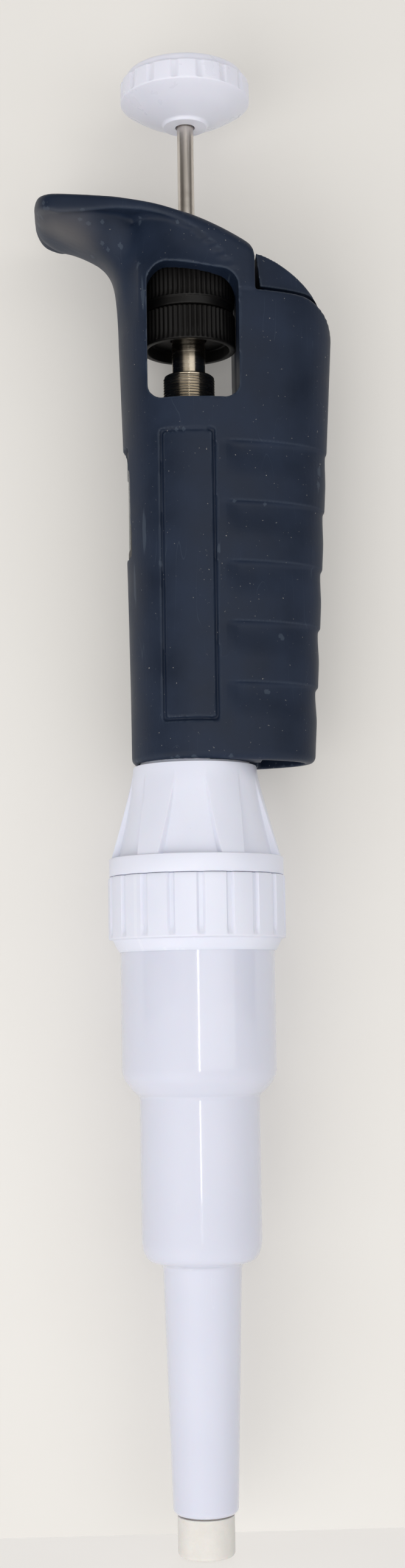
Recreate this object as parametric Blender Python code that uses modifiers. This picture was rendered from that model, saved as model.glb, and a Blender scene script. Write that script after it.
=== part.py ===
# Adjustable-volume air-displacement pipette of 5 millilitres.
# Metres, +Z up. The plunger runs along the Z axis, and the filter's end face is at Z = 0.
# The finger hook points to -X, and the tip ejector's button is on the +X side.
# It is set to its largest volume: the thumbwheel and its screw stand at the top of their travel.

import math

import bmesh
import bpy
from mathutils import Matrix

# Clearances
GAP = 0.0003  # between pieces that touch or run on each other
BITE = 0.0002  # how far a joined shape reaches into the one that it joins
OVER = 0.002  # how far a cutter runs past the surface that it opens

# Nozzle, filter and barrel
FILTER_TIP_R = 0.0049
FILTER_TIP_LENGTH = 0.0068
FILTER_STEM_R = 0.0042
FILTER_STEM_LENGTH = 0.0080
NOZZLE_END_R = 0.00565
NOZZLE_ROOT_R = 0.00685
NOZZLE_LENGTH = 0.0419
NOZZLE_BORE_R = 0.0032
NOZZLE_EDGE = 0.0006
WAIST_R = 0.0105
WAIST_LENGTH = 0.0289
WAIST_ROUND = 0.0023
WAIST_WALL = 0.0020
BARREL_R = 0.0136
BARREL_LENGTH = 0.0324
BARREL_WALL = 0.0023
SHOULDER_LENGTH = 0.0031
FLANGE_R = 0.0145
FLANGE_THICKNESS = 0.0018

# Coupling nut
NUT_R = 0.0157
NUT_HEIGHT = 0.0110
NUT_LEDGE = 0.0030
NUT_LIP_R = 0.0149
NUT_LIP_LENGTH = 0.0022
NUT_GROOVES = 19
NUT_GROOVE_WIDTH = 0.0011
NUT_GROOVE_DEPTH = 0.00045

# Connector between the nut and the handle
CONE_TOP_R = 0.01095
CONE_BOTTOM_R = 0.0150
CONE_HEIGHT = 0.0162
CONE_FLANGE_R = 0.0154
CONE_FLANGE_THICKNESS = 0.0030
CONE_RIBS = 6
CONE_RIB_HALF_ANGLE = 8.0
CONE_RIB_SPREAD = 7.5
CONE_RIB_TURN = -7.0
CONE_RECESS_DEPTH = 0.0013
CONE_PLAIN_TOP = 0.0028
SPIGOT_LENGTH = 0.0150
SPIGOT_WALL = 0.0014
SKIRT_WALL = 0.0020
STOP_LEDGE_THICKNESS = 0.0040
STOP_LEDGE_BORE_R = 0.0062
STOP_LEDGE_LIFT = 0.0115

# Handle
HANDLE_FRONT_LOW = 0.01115
HANDLE_FRONT_RISE = 0.00175
HANDLE_BACK_LOW = 0.0215
HANDLE_BACK_RISE = 0.0044
HANDLE_BODY_HEIGHT = 0.0835
HANDLE_BACK_POWER = 1.7
HANDLE_FOOT_ROUND = 0.0012
SHOULDER_ROUND = 0.0065
SHOULDER_EDGE = 0.0003
HANDLE_WALL = 0.0019
BLOCK_BACK_X = 0.0115
HEAD_HEIGHT = 0.1014
HEAD_TOP_R = 0.070
HEAD_CREST_X = -0.024
HEAD_EDGE = 0.0022
HOOK_TIP_X = -0.0276
HOOK_HALF_WIDTH = 0.0110
HOOK_PLATE = 0.0043
HOOK_TIP_ROUND = 0.0014
HOOK_UNDER_ROUND = 0.0022
HOOK_UNDER_TIP = 0.0036
HOOK_UNDER_SLOPE = 0.36
HOOK_FILLET = 0.0096
HOOK_REACH = 0.0149
GRIP_BANDS = 5
GRIP_FIRST = 0.0090
GRIP_PITCH = 0.01065
GRIP_HEIGHT = 0.0046
GRIP_DEPTH = 0.00045
GRIP_START_X = 0.0062
GRIP_FULL_X = 0.0095
HANDLE_BORE_R = 0.0100
DECK_HEIGHT = 0.0566
DECK_THICKNESS = 0.0072
BAY_R = 0.0089
BAY_HEIGHT = 0.0268
REAR_CAVITY_X = 0.0116
REAR_CAVITY_HEIGHT = 0.0300
PANEL_LEFT_X = -0.0066
PANEL_RIGHT_X = 0.0047
PANEL_LOW = 0.0057
PANEL_HIGH = 0.0587
PANEL_GROOVE = 0.0009
PANEL_DEPTH = 0.0004

# Window for the thumbwheel
WINDOW_LEFT_X = -0.0077
WINDOW_RIGHT_X = 0.0085
WINDOW_HEIGHT = 0.0249
WINDOW_SLOPE = 0.0022
WINDOW_TOP_ROUND = 0.0045
WINDOW_FOOT_ROUND = 0.0028

# Micrometer screw and thumbwheel
ROD_R = 0.0015
THREAD_R = 0.00465
THREAD_LENGTH = 0.0146
NECK_R = 0.0030
TAIL_R = 0.0029
SCREW_CHAMFER = 0.00045
WHEEL_R = 0.00855
NECK_SHOWN = 0.0048  # from the thread's end up to the thumbwheel's underside
WHEEL_LOWER_HEIGHT = 0.00615
WHEEL_UPPER_HEIGHT = 0.00815
WHEEL_SMOOTH_BAND = 0.00155
WHEEL_SMOOTH_R = 0.0082
WHEEL_UPPER_R = 0.0084
WHEEL_RIDGES = 36
WHEEL_GROOVE_WIDTH = 0.0006
WHEEL_GROOVE_DEPTH = 0.00028
NUT_BODY_R = 0.0062
NUT_FLANGE_R = 0.0085
NUT_FLANGE_THICKNESS = 0.0012
NUT_SLEEVE_R = 0.0056
NUT_STANDOFF = 0.0017
FRICTION_RING_WIRE = 0.0005

# Volume counter
COUNTER_PITCH = 0.0064
COUNTER_WHEEL_R = 0.0082
COUNTER_DISC_R = 0.0072
COUNTER_BAND_HEIGHT = 0.0032
COUNTER_RING_HEIGHT = 0.0011
COUNTER_STEP = 0.0004
COUNTER_DISC_HEIGHT = 0.0014
COUNTER_SHELL = 0.0009
COUNTER_FLOOR = 0.0018
COUNTER_LUG_HALF_WIDTH = 0.0020
COUNTER_SLOT_HALF_WIDTH = 0.0029
LUG_OVERHANG = 0.0007
SHAFT_SOCKET = 0.0013
COUNTER_RIM = 0.0014
WHEEL_PITCH_R = 0.0080
WHEEL_TEETH = 24
PINION_TEETH = 6
TOOTH_WIDTH = 0.00070
TOOTH_TIP = 0.00035
TOOTH_ADDENDUM = 0.00050
TOOTH_DEDENDUM = 0.00070
GEAR_SLACK = 0.00010
PINION_FACE = 0.0026
PINION_HUB_R = 0.0016
PINION_BORE_R = 0.0010
PINION_SHAFT_R = 0.0007

# Display
DISPLAY_HALF_WIDTH = 0.0040
DISPLAY_HEIGHT = 0.0201
DISPLAY_ROUND = 0.0012
DISPLAY_RECESS = 0.0003
BEZEL_RIM = 0.0011
BEZEL_THICKNESS = 0.0011
LENS_THICKNESS = 0.0007

# Plunger
BUTTON_R = 0.0118
BUTTON_RIM_HEIGHT = 0.0025
BUTTON_SCALLOPS = 16
BUTTON_SCALLOP_R = 0.0018
BUTTON_SCALLOP_DEPTH = 0.00045
BUTTON_HUB_R = 0.0040
BUTTON_FLARE_HEIGHT = 0.0053
BUTTON_FLARE = ((0.0103, 0.0035), (0.0078, 0.0021), (0.0052, 0.0011), (0.0042, 0.0006))  # radius and height
BUTTON_EDGE = 0.0004
BUTTON_WELL_R = 0.0052
CAP_SUNK = 0.0011
ROD_SUNK = 0.0020
BUTTON_LIFT = 0.0203  # from the handle's top, on the axis, to the hub of the push-button
CAP_R = 0.0109
CAP_HEIGHT = 0.0035
CAP_EDGE = 0.0012
COLLAR_R = 0.0070
COLLAR_THICKNESS = 0.0025
COLLAR_HUB_R = 0.0037
COLLAR_HUB_LENGTH = 0.0078
COLLAR_WEB = 0.0015
COLLAR_VENT_R = 0.0005
COLLAR_SOCKET = 0.0033
PISTON_ROD_R = 0.0025
STROKE = 0.0125
BLOWOUT = 0.0040
PISTON_R = 0.0107
PISTON_HEIGHT = 0.0050
PISTON_HUB_R = 0.0044
PISTON_HUB_HEIGHT = 0.0040
PISTON_DROP = 0.0063
SEAL_R = 0.0110
SEAL_WIDTH = 0.00105
SEAL_HEIGHT = 0.0014
ORING_WIRE = 0.00035
PISTON_SCREW_HEAD_R = 0.0024
PISTON_SCREW_HEAD = 0.0009
PISTON_SCREW_R = 0.0010
PISTON_SCREW_LENGTH = 0.0060
SEAT_R = 0.0122
SEAT_THICKNESS = 0.0020
MAIN_SPRING_R = 0.0046
MAIN_SPRING_WIRE = 0.0004
MAIN_SPRING_TURNS = 8
PLATE_R = 0.0080
PLATE_BORE_R = 0.0056
PLATE_THICKNESS = 0.0020
BLOWOUT_SPRING_R = 0.0071
BLOWOUT_SPRING_WIRE = 0.0006
BLOWOUT_SPRING_TURNS = 3
BLOWOUT_SPRING_LENGTH = 0.0144
BUSH_R = 0.0027
BUSH_LENGTH = 0.0043

# Tip ejector
EJECTOR_X = 0.0170
EJECTOR_TRAVEL = 0.0060
WEDGE_FRONT_X = 0.0118
WEDGE_BACK_X = 0.0240
WEDGE_INSET = 0.0014
WEDGE_SKIRT = 0.0034
WEDGE_LIFT = 0.0009
WEDGE_LEAN = 0.0007
WEDGE_RISE = 0.0069
WEDGE_TIP_DROP = 0.0015
WEDGE_UNDER_R = 0.0030
WEDGE_NECK_INSET = 0.0013
WEDGE_POWER = 1.4
STEM_R = 0.0024
STEM_LENGTH = 0.0080
EJECTOR_ROD_R = 0.00125
EJECTOR_ROD_END = 0.0220
EJECTOR_COLLAR_R = 0.0030
EJECTOR_COLLAR_THICKNESS = 0.0010
EJECTOR_SPRING_R = 0.0025
EJECTOR_SPRING_WIRE = 0.00035
EJECTOR_SPRING_TURNS = 3
EJECTOR_SPRING_LENGTH = 0.0126

# Fineness of round shapes
STEPS = 36
INNER_STEPS = 24
SMALL_STEPS = 16
FRONT_STEPS = 14
BACK_STEPS = 9
SPRING_POINTS = 10

# Heights along the axis, each one worked out from the piece below it
nozzle_end = FILTER_TIP_LENGTH + GAP
nozzle_root = nozzle_end + NOZZLE_LENGTH
waist_top = nozzle_root + WAIST_LENGTH
barrel_top = waist_top + BARREL_LENGTH
nut_shelf = barrel_top - FLANGE_THICKNESS - GAP
nut_foot = nut_shelf - NUT_LEDGE
nut_top = nut_foot + NUT_HEIGHT
cone_foot = nut_top + GAP
cone_top = cone_foot + CONE_FLANGE_THICKNESS + CONE_HEIGHT
handle_foot = cone_top + GAP
handle_shoulder = handle_foot + HANDLE_BODY_HEIGHT
head_top = handle_foot + HEAD_HEIGHT
deck_foot = handle_foot + DECK_HEIGHT
window_foot = deck_foot + DECK_THICKNESS
bay_top = window_foot + BAY_HEIGHT
spigot_top = cone_top + SPIGOT_LENGTH
wheel_top = bay_top - 2 * GAP
wheel_split = wheel_top - WHEEL_UPPER_HEIGHT
wheel_foot = wheel_split - GAP - WHEEL_LOWER_HEIGHT
screw_top = wheel_top - GAP
thread_top = wheel_foot - NECK_SHOWN
thread_foot = thread_top - THREAD_LENGTH
nut_top_in_window = window_foot - NUT_STANDOFF
counter_top = deck_foot - GAP
nut_flange_foot = counter_top - NUT_FLANGE_THICKNESS
counter_foot = nut_flange_foot - GAP - 3 * COUNTER_PITCH - COUNTER_STEP + COUNTER_DISC_HEIGHT
counter_floor_top = counter_foot + COUNTER_RING_HEIGHT + COUNTER_STEP - GAP
tail_end = counter_floor_top - COUNTER_FLOOR
display_foot = deck_foot - DISPLAY_HEIGHT + GAP
seat_foot = barrel_top + GAP
seat_top = seat_foot + SEAT_THICKNESS
stop_ledge_top = cone_foot + STOP_LEDGE_LIFT
plate_foot = stop_ledge_top + BLOWOUT_SPRING_LENGTH + 2 * GAP
plate_top = plate_foot + PLATE_THICKNESS
collar_foot = plate_top + STROKE + GAP
collar_top = collar_foot + COLLAR_THICKNESS
piston_top = barrel_top - PISTON_DROP
socket_floor = collar_top - COLLAR_SOCKET
piston_foot = piston_top - PISTON_HEIGHT

# Radii that fit one piece to another
barrel_bore_r = BARREL_R - BARREL_WALL
nut_bore_r = FLANGE_R + GAP
spigot_r = HANDLE_BORE_R - GAP
spigot_bore_r = spigot_r - SPIGOT_WALL
rod_hole_r = ROD_R + GAP
thread_hole_r = THREAD_R + GAP
counter_r = HANDLE_BORE_R - GAP
pinion_pitch_r = WHEEL_PITCH_R * PINION_TEETH / WHEEL_TEETH
pinion_x = WHEEL_PITCH_R + pinion_pitch_r + GEAR_SLACK
pinion_tip_r = pinion_pitch_r + TOOTH_ADDENDUM

pieces = bpy.data.collections.new("pipette")
cutters = bpy.data.collections.new("cutters")


def clear_scene():
    for item in list(bpy.data.objects):
        bpy.data.objects.remove(item, do_unlink=True)
    for group in (pieces, cutters):
        bpy.context.scene.collection.children.link(group)


def finish(name, red, green, blue, roughness=0.45, metallic=0.0):
    material = bpy.data.materials.new(name)
    material.use_nodes = True
    shader = material.node_tree.nodes["Principled BSDF"]
    shader.inputs["Base Color"].default_value = (red, green, blue, 1.0)
    shader.inputs["Roughness"].default_value = roughness
    shader.inputs["Metallic"].default_value = metallic
    return material


def add_object(name, data, material=None):
    """A piece when it has a material, and a cutter when it has none."""
    item = bpy.data.objects.new(name, data)
    if material:
        data.materials.append(material)
        pieces.objects.link(item)
    else:
        cutters.objects.link(item)
        item.hide_render = True
        item.display_type = "WIRE"
    return item


def smooth(mesh, angle=35.0):
    mesh.shade_smooth()
    mesh.set_sharp_from_angle(angle=math.radians(angle))


def from_bmesh(name, shape, material=None):
    mesh = bpy.data.meshes.new(name)
    shape.to_mesh(mesh)
    shape.free()
    smooth(mesh)
    return add_object(name, mesh, material)


def turned(name, profile, material=None, centre_x=0.0, steps=STEPS):
    """A profile of (radius, height), down the outside and up the bore, turned about a vertical axis."""
    shape = bmesh.new()
    points = [shape.verts.new((radius, 0.0, height)) for radius, height in profile]
    for start, end in zip(points, points[1:]):
        shape.edges.new((start, end))
    if profile[0][0] > 0.0:
        shape.edges.new((points[-1], points[0]))
    item = from_bmesh(name, shape, material)
    item.location.x = centre_x
    screw = item.modifiers.new("turn", "SCREW")
    screw.axis = "Z"
    screw.angle = math.tau
    screw.steps = steps
    screw.render_steps = steps
    screw.use_merge_vertices = True
    screw.merge_threshold = 0.00001
    screw.use_smooth_shade = True
    return item


def rod(name, radius, low, high, material=None, centre_x=0.0, edge=0.0, steps=SMALL_STEPS):
    profile = [(0.0, high), (radius - edge, high)]
    if edge:
        profile.append((radius, high - edge))
        profile.append((radius, low + edge))
    profile += [(radius - edge, low), (0.0, low)]
    if not edge:
        profile = [(0.0, high), (radius, high), (radius, low), (0.0, low)]
    return turned(name, profile, material, centre_x, steps)


def box(name, low, high, material=None):
    shape = bmesh.new()
    bmesh.ops.create_cube(shape, size=1.0)
    for vert in shape.verts:
        for axis in range(3):
            vert.co[axis] = low[axis] + (vert.co[axis] + 0.5) * (high[axis] - low[axis])
    return from_bmesh(name, shape, material)


def plate(name, outline, low, high, material=None, along="Z"):
    """A flat outline given thickness from low to high along Z or Y."""
    curve = bpy.data.curves.new(name, "CURVE")
    curve.dimensions = "2D"
    curve.fill_mode = "BOTH"
    curve.extrude = (high - low) / 2
    line = curve.splines.new("POLY")
    line.points.add(len(outline) - 1)
    for point, (across, up) in zip(line.points, outline):
        point.co = (across, up, 0.0, 1.0)
    line.use_cyclic_u = True
    drawn = bpy.data.objects.new(name, curve)
    bpy.context.scene.collection.objects.link(drawn)
    bpy.context.view_layer.update()
    mesh = bpy.data.meshes.new_from_object(drawn.evaluated_get(bpy.context.evaluated_depsgraph_get()))
    bpy.data.objects.remove(drawn)
    shape = bmesh.new()
    shape.from_mesh(mesh)
    bpy.data.meshes.remove(mesh)
    bmesh.ops.remove_doubles(shape, verts=shape.verts, dist=0.00001)
    middle = (low + high) / 2
    if along == "Y":
        move = Matrix.Translation((0.0, middle, 0.0)) @ Matrix.Rotation(math.pi / 2, 4, "X")
    else:
        move = Matrix.Translation((0.0, 0.0, middle))
    bmesh.ops.transform(shape, matrix=move, verts=shape.verts)
    bmesh.ops.recalc_face_normals(shape, faces=shape.faces)
    return from_bmesh(name, shape, material)


def loft(name, rings, material=None):
    """A skin over closed rings of equally many points, with a flat cap on the first and the last."""
    shape = bmesh.new()
    rows = [[shape.verts.new(point) for point in ring] for ring in rings]
    count = len(rows[0])
    for row, above in zip(rows, rows[1:]):
        for i in range(count):
            j = (i + 1) % count
            shape.faces.new((row[i], row[j], above[j], above[i]))
    shape.faces.new(rows[0])
    shape.faces.new(rows[-1])
    bmesh.ops.recalc_face_normals(shape, faces=shape.faces)
    return from_bmesh(name, shape, material)


def combine(item, operation, *others):
    for other in others:
        step = item.modifiers.new(other.name, "BOOLEAN")
        step.operation = operation
        step.solver = "EXACT"
        step.object = other
    return item


def cut(item, *others):
    return combine(item, "DIFFERENCE", *others)


def join(item, *others):
    return combine(item, "UNION", *others)


def keep_inside(item, *others):
    return combine(item, "INTERSECT", *others)


def grooves(name, radius, width, depth, count, low, high, first=0.0):
    """Upright slots in a round face, as one cutter."""
    shape = bmesh.new()
    for k in range(count):
        turn = Matrix.Rotation(first + math.tau * k / count, 4, "Z")
        middle = Matrix.Translation((radius - depth + OVER / 2, 0.0, (low + high) / 2))
        size = Matrix.Diagonal((OVER, width, high - low, 1.0))
        bmesh.ops.create_cube(shape, size=1.0, matrix=turn @ middle @ size)
    return from_bmesh(name, shape)


def arc(centre_x, centre_y, radius, start, end, steps):
    """Points on an arc between two angles in degrees."""
    points = []
    for k in range(steps + 1):
        angle = math.radians(start + (end - start) * k / steps)
        points.append((centre_x + radius * math.cos(angle), centre_y + radius * math.sin(angle)))
    return points


def rounded_box(left, right, low, high, radius, steps=5):
    return (
        arc(right - radius, high - radius, radius, 0, 90, steps)
        + arc(left + radius, high - radius, radius, 90, 180, steps)
        + arc(left + radius, low + radius, radius, 180, 270, steps)
        + arc(right - radius, low + radius, radius, 270, 360, steps)
    )


def coil(name, major, wire, low, high, turns, material, centre_x=0.0):
    """A compression spring between two seats, with closed ends."""
    bottom, top = low + wire, high - wire
    total = turns + 2
    lie = 2.2 * wire
    curve = bpy.data.curves.new(name, "CURVE")
    curve.dimensions = "3D"
    curve.bevel_depth = wire
    curve.bevel_resolution = 2
    curve.use_fill_caps = True
    line = curve.splines.new("POLY")
    last = total * SPRING_POINTS
    line.points.add(last)
    for k in range(last + 1):
        turn = k / SPRING_POINTS
        if turn < 1.0:
            height = bottom + lie * turn
        elif turn > total - 1.0:
            height = top - lie * (total - turn)
        else:
            height = bottom + lie + (top - bottom - 2 * lie) * (turn - 1.0) / turns
        angle = math.tau * turn
        line.points[k].co = (major * math.cos(angle), major * math.sin(angle), height, 1.0)
    item = bpy.data.objects.new(name, curve)
    curve.materials.append(material)
    item.location.x = centre_x
    pieces.objects.link(item)
    return item


def torus(name, major, minor, height, material):
    circle = arc(major, height, minor, 90, -210, 5)
    return turned(name, circle, material, steps=INNER_STEPS)


def gear_outline(teeth, phase, centre_x=0.0):
    """Straight-sided teeth on the pitch circle."""
    pitch_r = WHEEL_PITCH_R * teeth / WHEEL_TEETH
    slope = (TOOTH_WIDTH - TOOTH_TIP) / TOOTH_ADDENDUM
    root = (pitch_r - TOOTH_DEDENDUM, TOOTH_WIDTH + slope * TOOTH_DEDENDUM)
    tip = (pitch_r + TOOTH_ADDENDUM, TOOTH_TIP)
    outline = []
    for k in range(teeth):
        middle = phase + math.tau * k / teeth
        for (radius, width), side in ((root, -1), (tip, -1), (tip, 1), (root, 1)):
            angle = middle + side * width / 2 / radius
            outline.append((centre_x + radius * math.cos(angle), radius * math.sin(angle)))
    return outline


def front_radius(rise):
    share = min(rise / HANDLE_BODY_HEIGHT, 1.0)
    return HANDLE_FRONT_LOW + HANDLE_FRONT_RISE * share**HANDLE_BACK_POWER


def back_reach(rise):
    share = min(rise / (HANDLE_BODY_HEIGHT - SHOULDER_ROUND), 1.0)
    return HANDLE_BACK_LOW + HANDLE_BACK_RISE * share


def head_height(x):
    """The top of the handle, an arc that falls from the hook's crest to the block's back."""
    run = max(x - HEAD_CREST_X, 0.0)
    return head_top - HEAD_TOP_R + math.sqrt(HEAD_TOP_R**2 - run**2)


def ease(x, start, full):
    share = min(max((x - start) / (full - start), 0.0), 1.0)
    return share * share * (3 - 2 * share)


def section(radius, reach, inset=0.0, grip=0.0, clip_x=None):
    """The handle's plan: half a circle in front and a fuller, longer curve behind."""
    points = []
    for k in range(FRONT_STEPS + 1):
        angle = math.pi / 2 + math.pi * k / FRONT_STEPS
        points.append((radius * math.cos(angle), radius * math.sin(angle)))
    for k in range(1, 2 * BACK_STEPS):
        angle = -math.pi / 2 + math.pi * k / (2 * BACK_STEPS)
        x = reach * math.cos(angle) ** (2 / HANDLE_BACK_POWER)
        y = radius * math.sin(angle)
        if clip_x is not None:
            x = min(x, clip_x)
        points.append((x, y))
    ring = []
    for x, y in points:
        length = math.hypot(x, y)
        drop = inset + grip * ease(x, GRIP_START_X, GRIP_FULL_X)
        ring.append((x * (1 - drop / length), y * (1 - drop / length)))
    return ring


def handle_rings(inset=0.0):
    """Level rings from the foot to the shoulder, then the block's rings, which follow the sloping top."""
    levels = []
    for angle in (0, 45, 90):
        fall = math.radians(angle)
        levels.append((HANDLE_FOOT_ROUND * (1 - math.cos(fall)), HANDLE_FOOT_ROUND * (1 - math.sin(fall)), 0.0))
    for k in range(GRIP_BANDS):
        low = GRIP_FIRST + k * GRIP_PITCH
        levels.append((low, 0.0, 0.0))
        levels.append((low + 0.0009, 0.0, GRIP_DEPTH))
        levels.append((low + GRIP_HEIGHT - 0.0005, 0.0, GRIP_DEPTH))
        levels.append((low + GRIP_HEIGHT, 0.0, 0.0))
    levels.append((HANDLE_BODY_HEIGHT - SHOULDER_ROUND - 0.009, 0.0, 0.0))
    rings = []
    for rise, foot, grip in levels:
        outline = section(front_radius(rise), back_reach(rise), foot + inset, grip)
        rings.append([(x, y, handle_foot + rise) for x, y in outline])
    base = HANDLE_BODY_HEIGHT - SHOULDER_ROUND
    for angle in (0, 22, 42, 60, 76, 90):
        turn = math.radians(angle)
        rise = base + SHOULDER_ROUND * math.sin(turn)
        limit = back_reach(base) - inset - SHOULDER_ROUND * (1 - math.cos(turn))
        outline = section(front_radius(rise), back_reach(base), inset, 0.0, limit)
        edge = SHOULDER_EDGE * (1 - math.cos(turn))
        ring = []
        for x, y in outline:
            share = 1 - ease(x, 0.0, BLOCK_BACK_X) * edge / max(abs(y), 0.004)
            ring.append((x, y * share, handle_foot + rise))
        rings.append(ring)
    radius = front_radius(HANDLE_BODY_HEIGHT)
    reach = back_reach(HANDLE_BODY_HEIGHT)
    block = section(radius, reach, inset, 0.0, BLOCK_BACK_X)
    rings.append([(x, y, handle_shoulder) for x, y in block])
    for angle in (0, 30, 60, 90):
        turn = math.radians(angle)
        drop = inset + HEAD_EDGE * (1 - math.cos(turn))
        fall = HEAD_EDGE * (1 - math.sin(turn))
        outline = section(radius, reach, drop, 0.0, BLOCK_BACK_X)
        rings.append([(x, y, head_height(x) - fall) for x, y in outline])
    for share in (0.66, 0.33):
        rings.append([(x * share, y * share, head_height(x * share)) for x, y, z in rings[-1]])
    return rings


def hook_under(run):
    """How far the hook's underside lies below its crest, at a distance in from its tip."""
    share = min(run / HOOK_REACH, 1.0)
    return HOOK_UNDER_TIP + HOOK_UNDER_SLOPE * run + HOOK_FILLET * (1 - (1 - share**3) ** (1 / 3))


def corner(run, radius):
    """How far a rounded corner stands back, at a distance in from its edge."""
    return radius - math.sqrt(max(radius**2 - max(radius - run, 0.0) ** 2, 0.0))


def hook_rings():
    """Upright rings from the hook's tip to inside the handle's block."""
    rings = []
    inside = HOOK_REACH + 0.004
    for run in (0.0, 0.0004, 0.0011, 0.0021, 0.0040, 0.0065, 0.0090, 0.0110, 0.0127, 0.0139, 0.0147, 0.0163, inside,
                inside + 0.004, inside + 0.008):
        x = HOOK_TIP_X + run
        bend = HOOK_REACH - 0.0033
        wide = HOOK_HALF_WIDTH * math.sqrt(1 - (max(bend - run, 0.0) / (bend + 0.0002)) ** 2)
        sunk = max(run - inside, 0.0)
        wide -= 0.6 * sunk
        top = head_height(x) - corner(run, HOOK_TIP_ROUND) - 0.12 * sunk - (0.00015 if run > HOOK_REACH else 0.0)
        low = head_top - hook_under(run) + corner(run, HOOK_UNDER_ROUND)
        low = min(low, top - 0.0008)
        rim = max(top - HOOK_PLATE, low + 0.25 * (top - low))
        half = [
            (0.0, top),
            (0.50 * wide, top - 0.0001),
            (0.84 * wide, top - 0.0004),
            (0.96 * wide, top - 0.0011 * min(1.0, (top - rim) / 0.003)),
            (wide, top - 0.5 * (top - rim)),
            (0.97 * wide, rim + 0.10 * (top - rim)),
            (0.88 * wide, rim),
            (0.72 * wide, rim - 0.16 * (rim - low)),
            (0.58 * wide, rim - 0.55 * (rim - low)),
            (0.38 * wide, rim - 0.88 * (rim - low)),
            (0.0, low),
        ]
        ring = [(x, y, z) for y, z in half]
        ring += [(x, -y, z) for y, z in half[-2:0:-1]]
        rings.append(ring)
    return rings


def window_outline():
    """An arched opening whose top falls towards the back."""
    left, right = WINDOW_LEFT_X, WINDOW_RIGHT_X
    low, high = window_foot, window_foot + WINDOW_HEIGHT
    foot, arch = WINDOW_FOOT_ROUND, WINDOW_TOP_ROUND
    return (
        arc(right - foot, low + foot, foot, -90, 0, 4)
        + arc(right - arch, high - WINDOW_SLOPE - arch, arch, 0, 75, 5)
        + arc(left + arch, high - arch, arch, 90, 180, 6)
        + arc(left + foot, low + foot, foot, 180, 270, 4)
    )


def back_outline(radius, reach, front_x):
    """The part of the handle's plan that lies behind an upright plane."""
    widest = math.acos((front_x / reach) ** (HANDLE_BACK_POWER / 2))
    points = []
    for k in range(2 * BACK_STEPS + 1):
        angle = widest * (k / BACK_STEPS - 1)
        points.append((reach * math.cos(angle) ** (2 / HANDLE_BACK_POWER), radius * math.sin(angle)))
    return points


def wedge_outline(gap):
    """The ejector button's plan, and with a gap the opening that it enters."""
    radius = front_radius(HANDLE_BODY_HEIGHT) - WEDGE_INSET + gap
    return back_outline(radius, WEDGE_BACK_X + gap, WEDGE_FRONT_X - gap)


def make_handle(plastic):
    body = loft("handle_body", handle_rings(), plastic)
    hook = loft("hook", hook_rings())
    bore = turned("handle_bore", [
        (0.0, head_top + OVER),
        (rod_hole_r, head_top + OVER),
        (rod_hole_r, bay_top + BUSH_LENGTH + GAP),
        (BUSH_R + GAP, bay_top + BUSH_LENGTH + GAP),
        (BUSH_R + GAP, bay_top),
        (BAY_R, bay_top),
        (BAY_R, window_foot),
        (NUT_BODY_R + GAP, window_foot),
        (NUT_BODY_R + GAP, deck_foot),
        (HANDLE_BORE_R, deck_foot),
        (HANDLE_BORE_R, handle_foot - OVER),
        (0.0, handle_foot - OVER),
    ], steps=32)
    deepest = front_radius(HANDLE_BODY_HEIGHT) + OVER
    window = plate("window", window_outline(), -deepest, deepest, along="Y")
    hollow = []
    for rise in (-OVER, REAR_CAVITY_HEIGHT):
        radius = front_radius(max(rise, 0.0)) - HANDLE_WALL
        reach = back_reach(rise) - HANDLE_WALL
        hollow.append([(x, y, handle_foot + rise) for x, y in back_outline(radius, reach, REAR_CAVITY_X)])
    rear = loft("rear_cavity", hollow)
    slot_half = COUNTER_SLOT_HALF_WIDTH + GAP
    slot_x = pinion_x + pinion_tip_r + GAP
    slot = box("pinion_slot", (HANDLE_BORE_R / 2, -slot_half, handle_foot - OVER),
               (slot_x, slot_half, counter_top + GAP / 2))
    display = plate("display_opening", rounded_box(
        -DISPLAY_HALF_WIDTH, DISPLAY_HALF_WIDTH, display_foot, display_foot + DISPLAY_HEIGHT, DISPLAY_ROUND,
    ), 0.0, deepest, along="Y")
    display.rotation_euler.z = math.pi / 2
    spring_r = EJECTOR_COLLAR_R + GAP
    pocket_floor = wedge_foot - EJECTOR_TRAVEL - GAP
    shaft = turned("ejector_bore", [
        (0.0, pocket_floor + OVER),
        (spring_r, pocket_floor + OVER),
        (spring_r, ejector_spring_foot - GAP),
        (EJECTOR_ROD_R + GAP, ejector_spring_foot - GAP),
        (EJECTOR_ROD_R + GAP, handle_foot + REAR_CAVITY_HEIGHT - OVER),
        (0.0, handle_foot + REAR_CAVITY_HEIGHT - OVER),
    ], centre_x=EJECTOR_X, steps=SMALL_STEPS)
    pocket = plate("ejector_pocket", wedge_outline(GAP), pocket_floor, handle_shoulder + OVER)
    outer = rounded_box(PANEL_LEFT_X, PANEL_RIGHT_X, handle_foot + PANEL_LOW, handle_foot + PANEL_HIGH, 0.0015, 3)
    inner = rounded_box(
        PANEL_LEFT_X + PANEL_GROOVE, PANEL_RIGHT_X - PANEL_GROOVE,
        handle_foot + PANEL_LOW + PANEL_GROOVE, handle_foot + PANEL_HIGH - PANEL_GROOVE, 0.0009, 3,
    )
    middle = front_radius(0.0) * 0.6
    panel = plate("panel_groove", outer, -deepest, -middle, along="Y")
    core = loft("panel_core", handle_rings(PANEL_DEPTH))
    field = plate("panel_field", inner, -deepest - OVER, -middle + OVER, along="Y")
    cut(panel, field, core)
    join(body, hook)
    cut(body, bore, window, rear, slot, display, pocket, shaft, panel)
    return body


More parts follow.
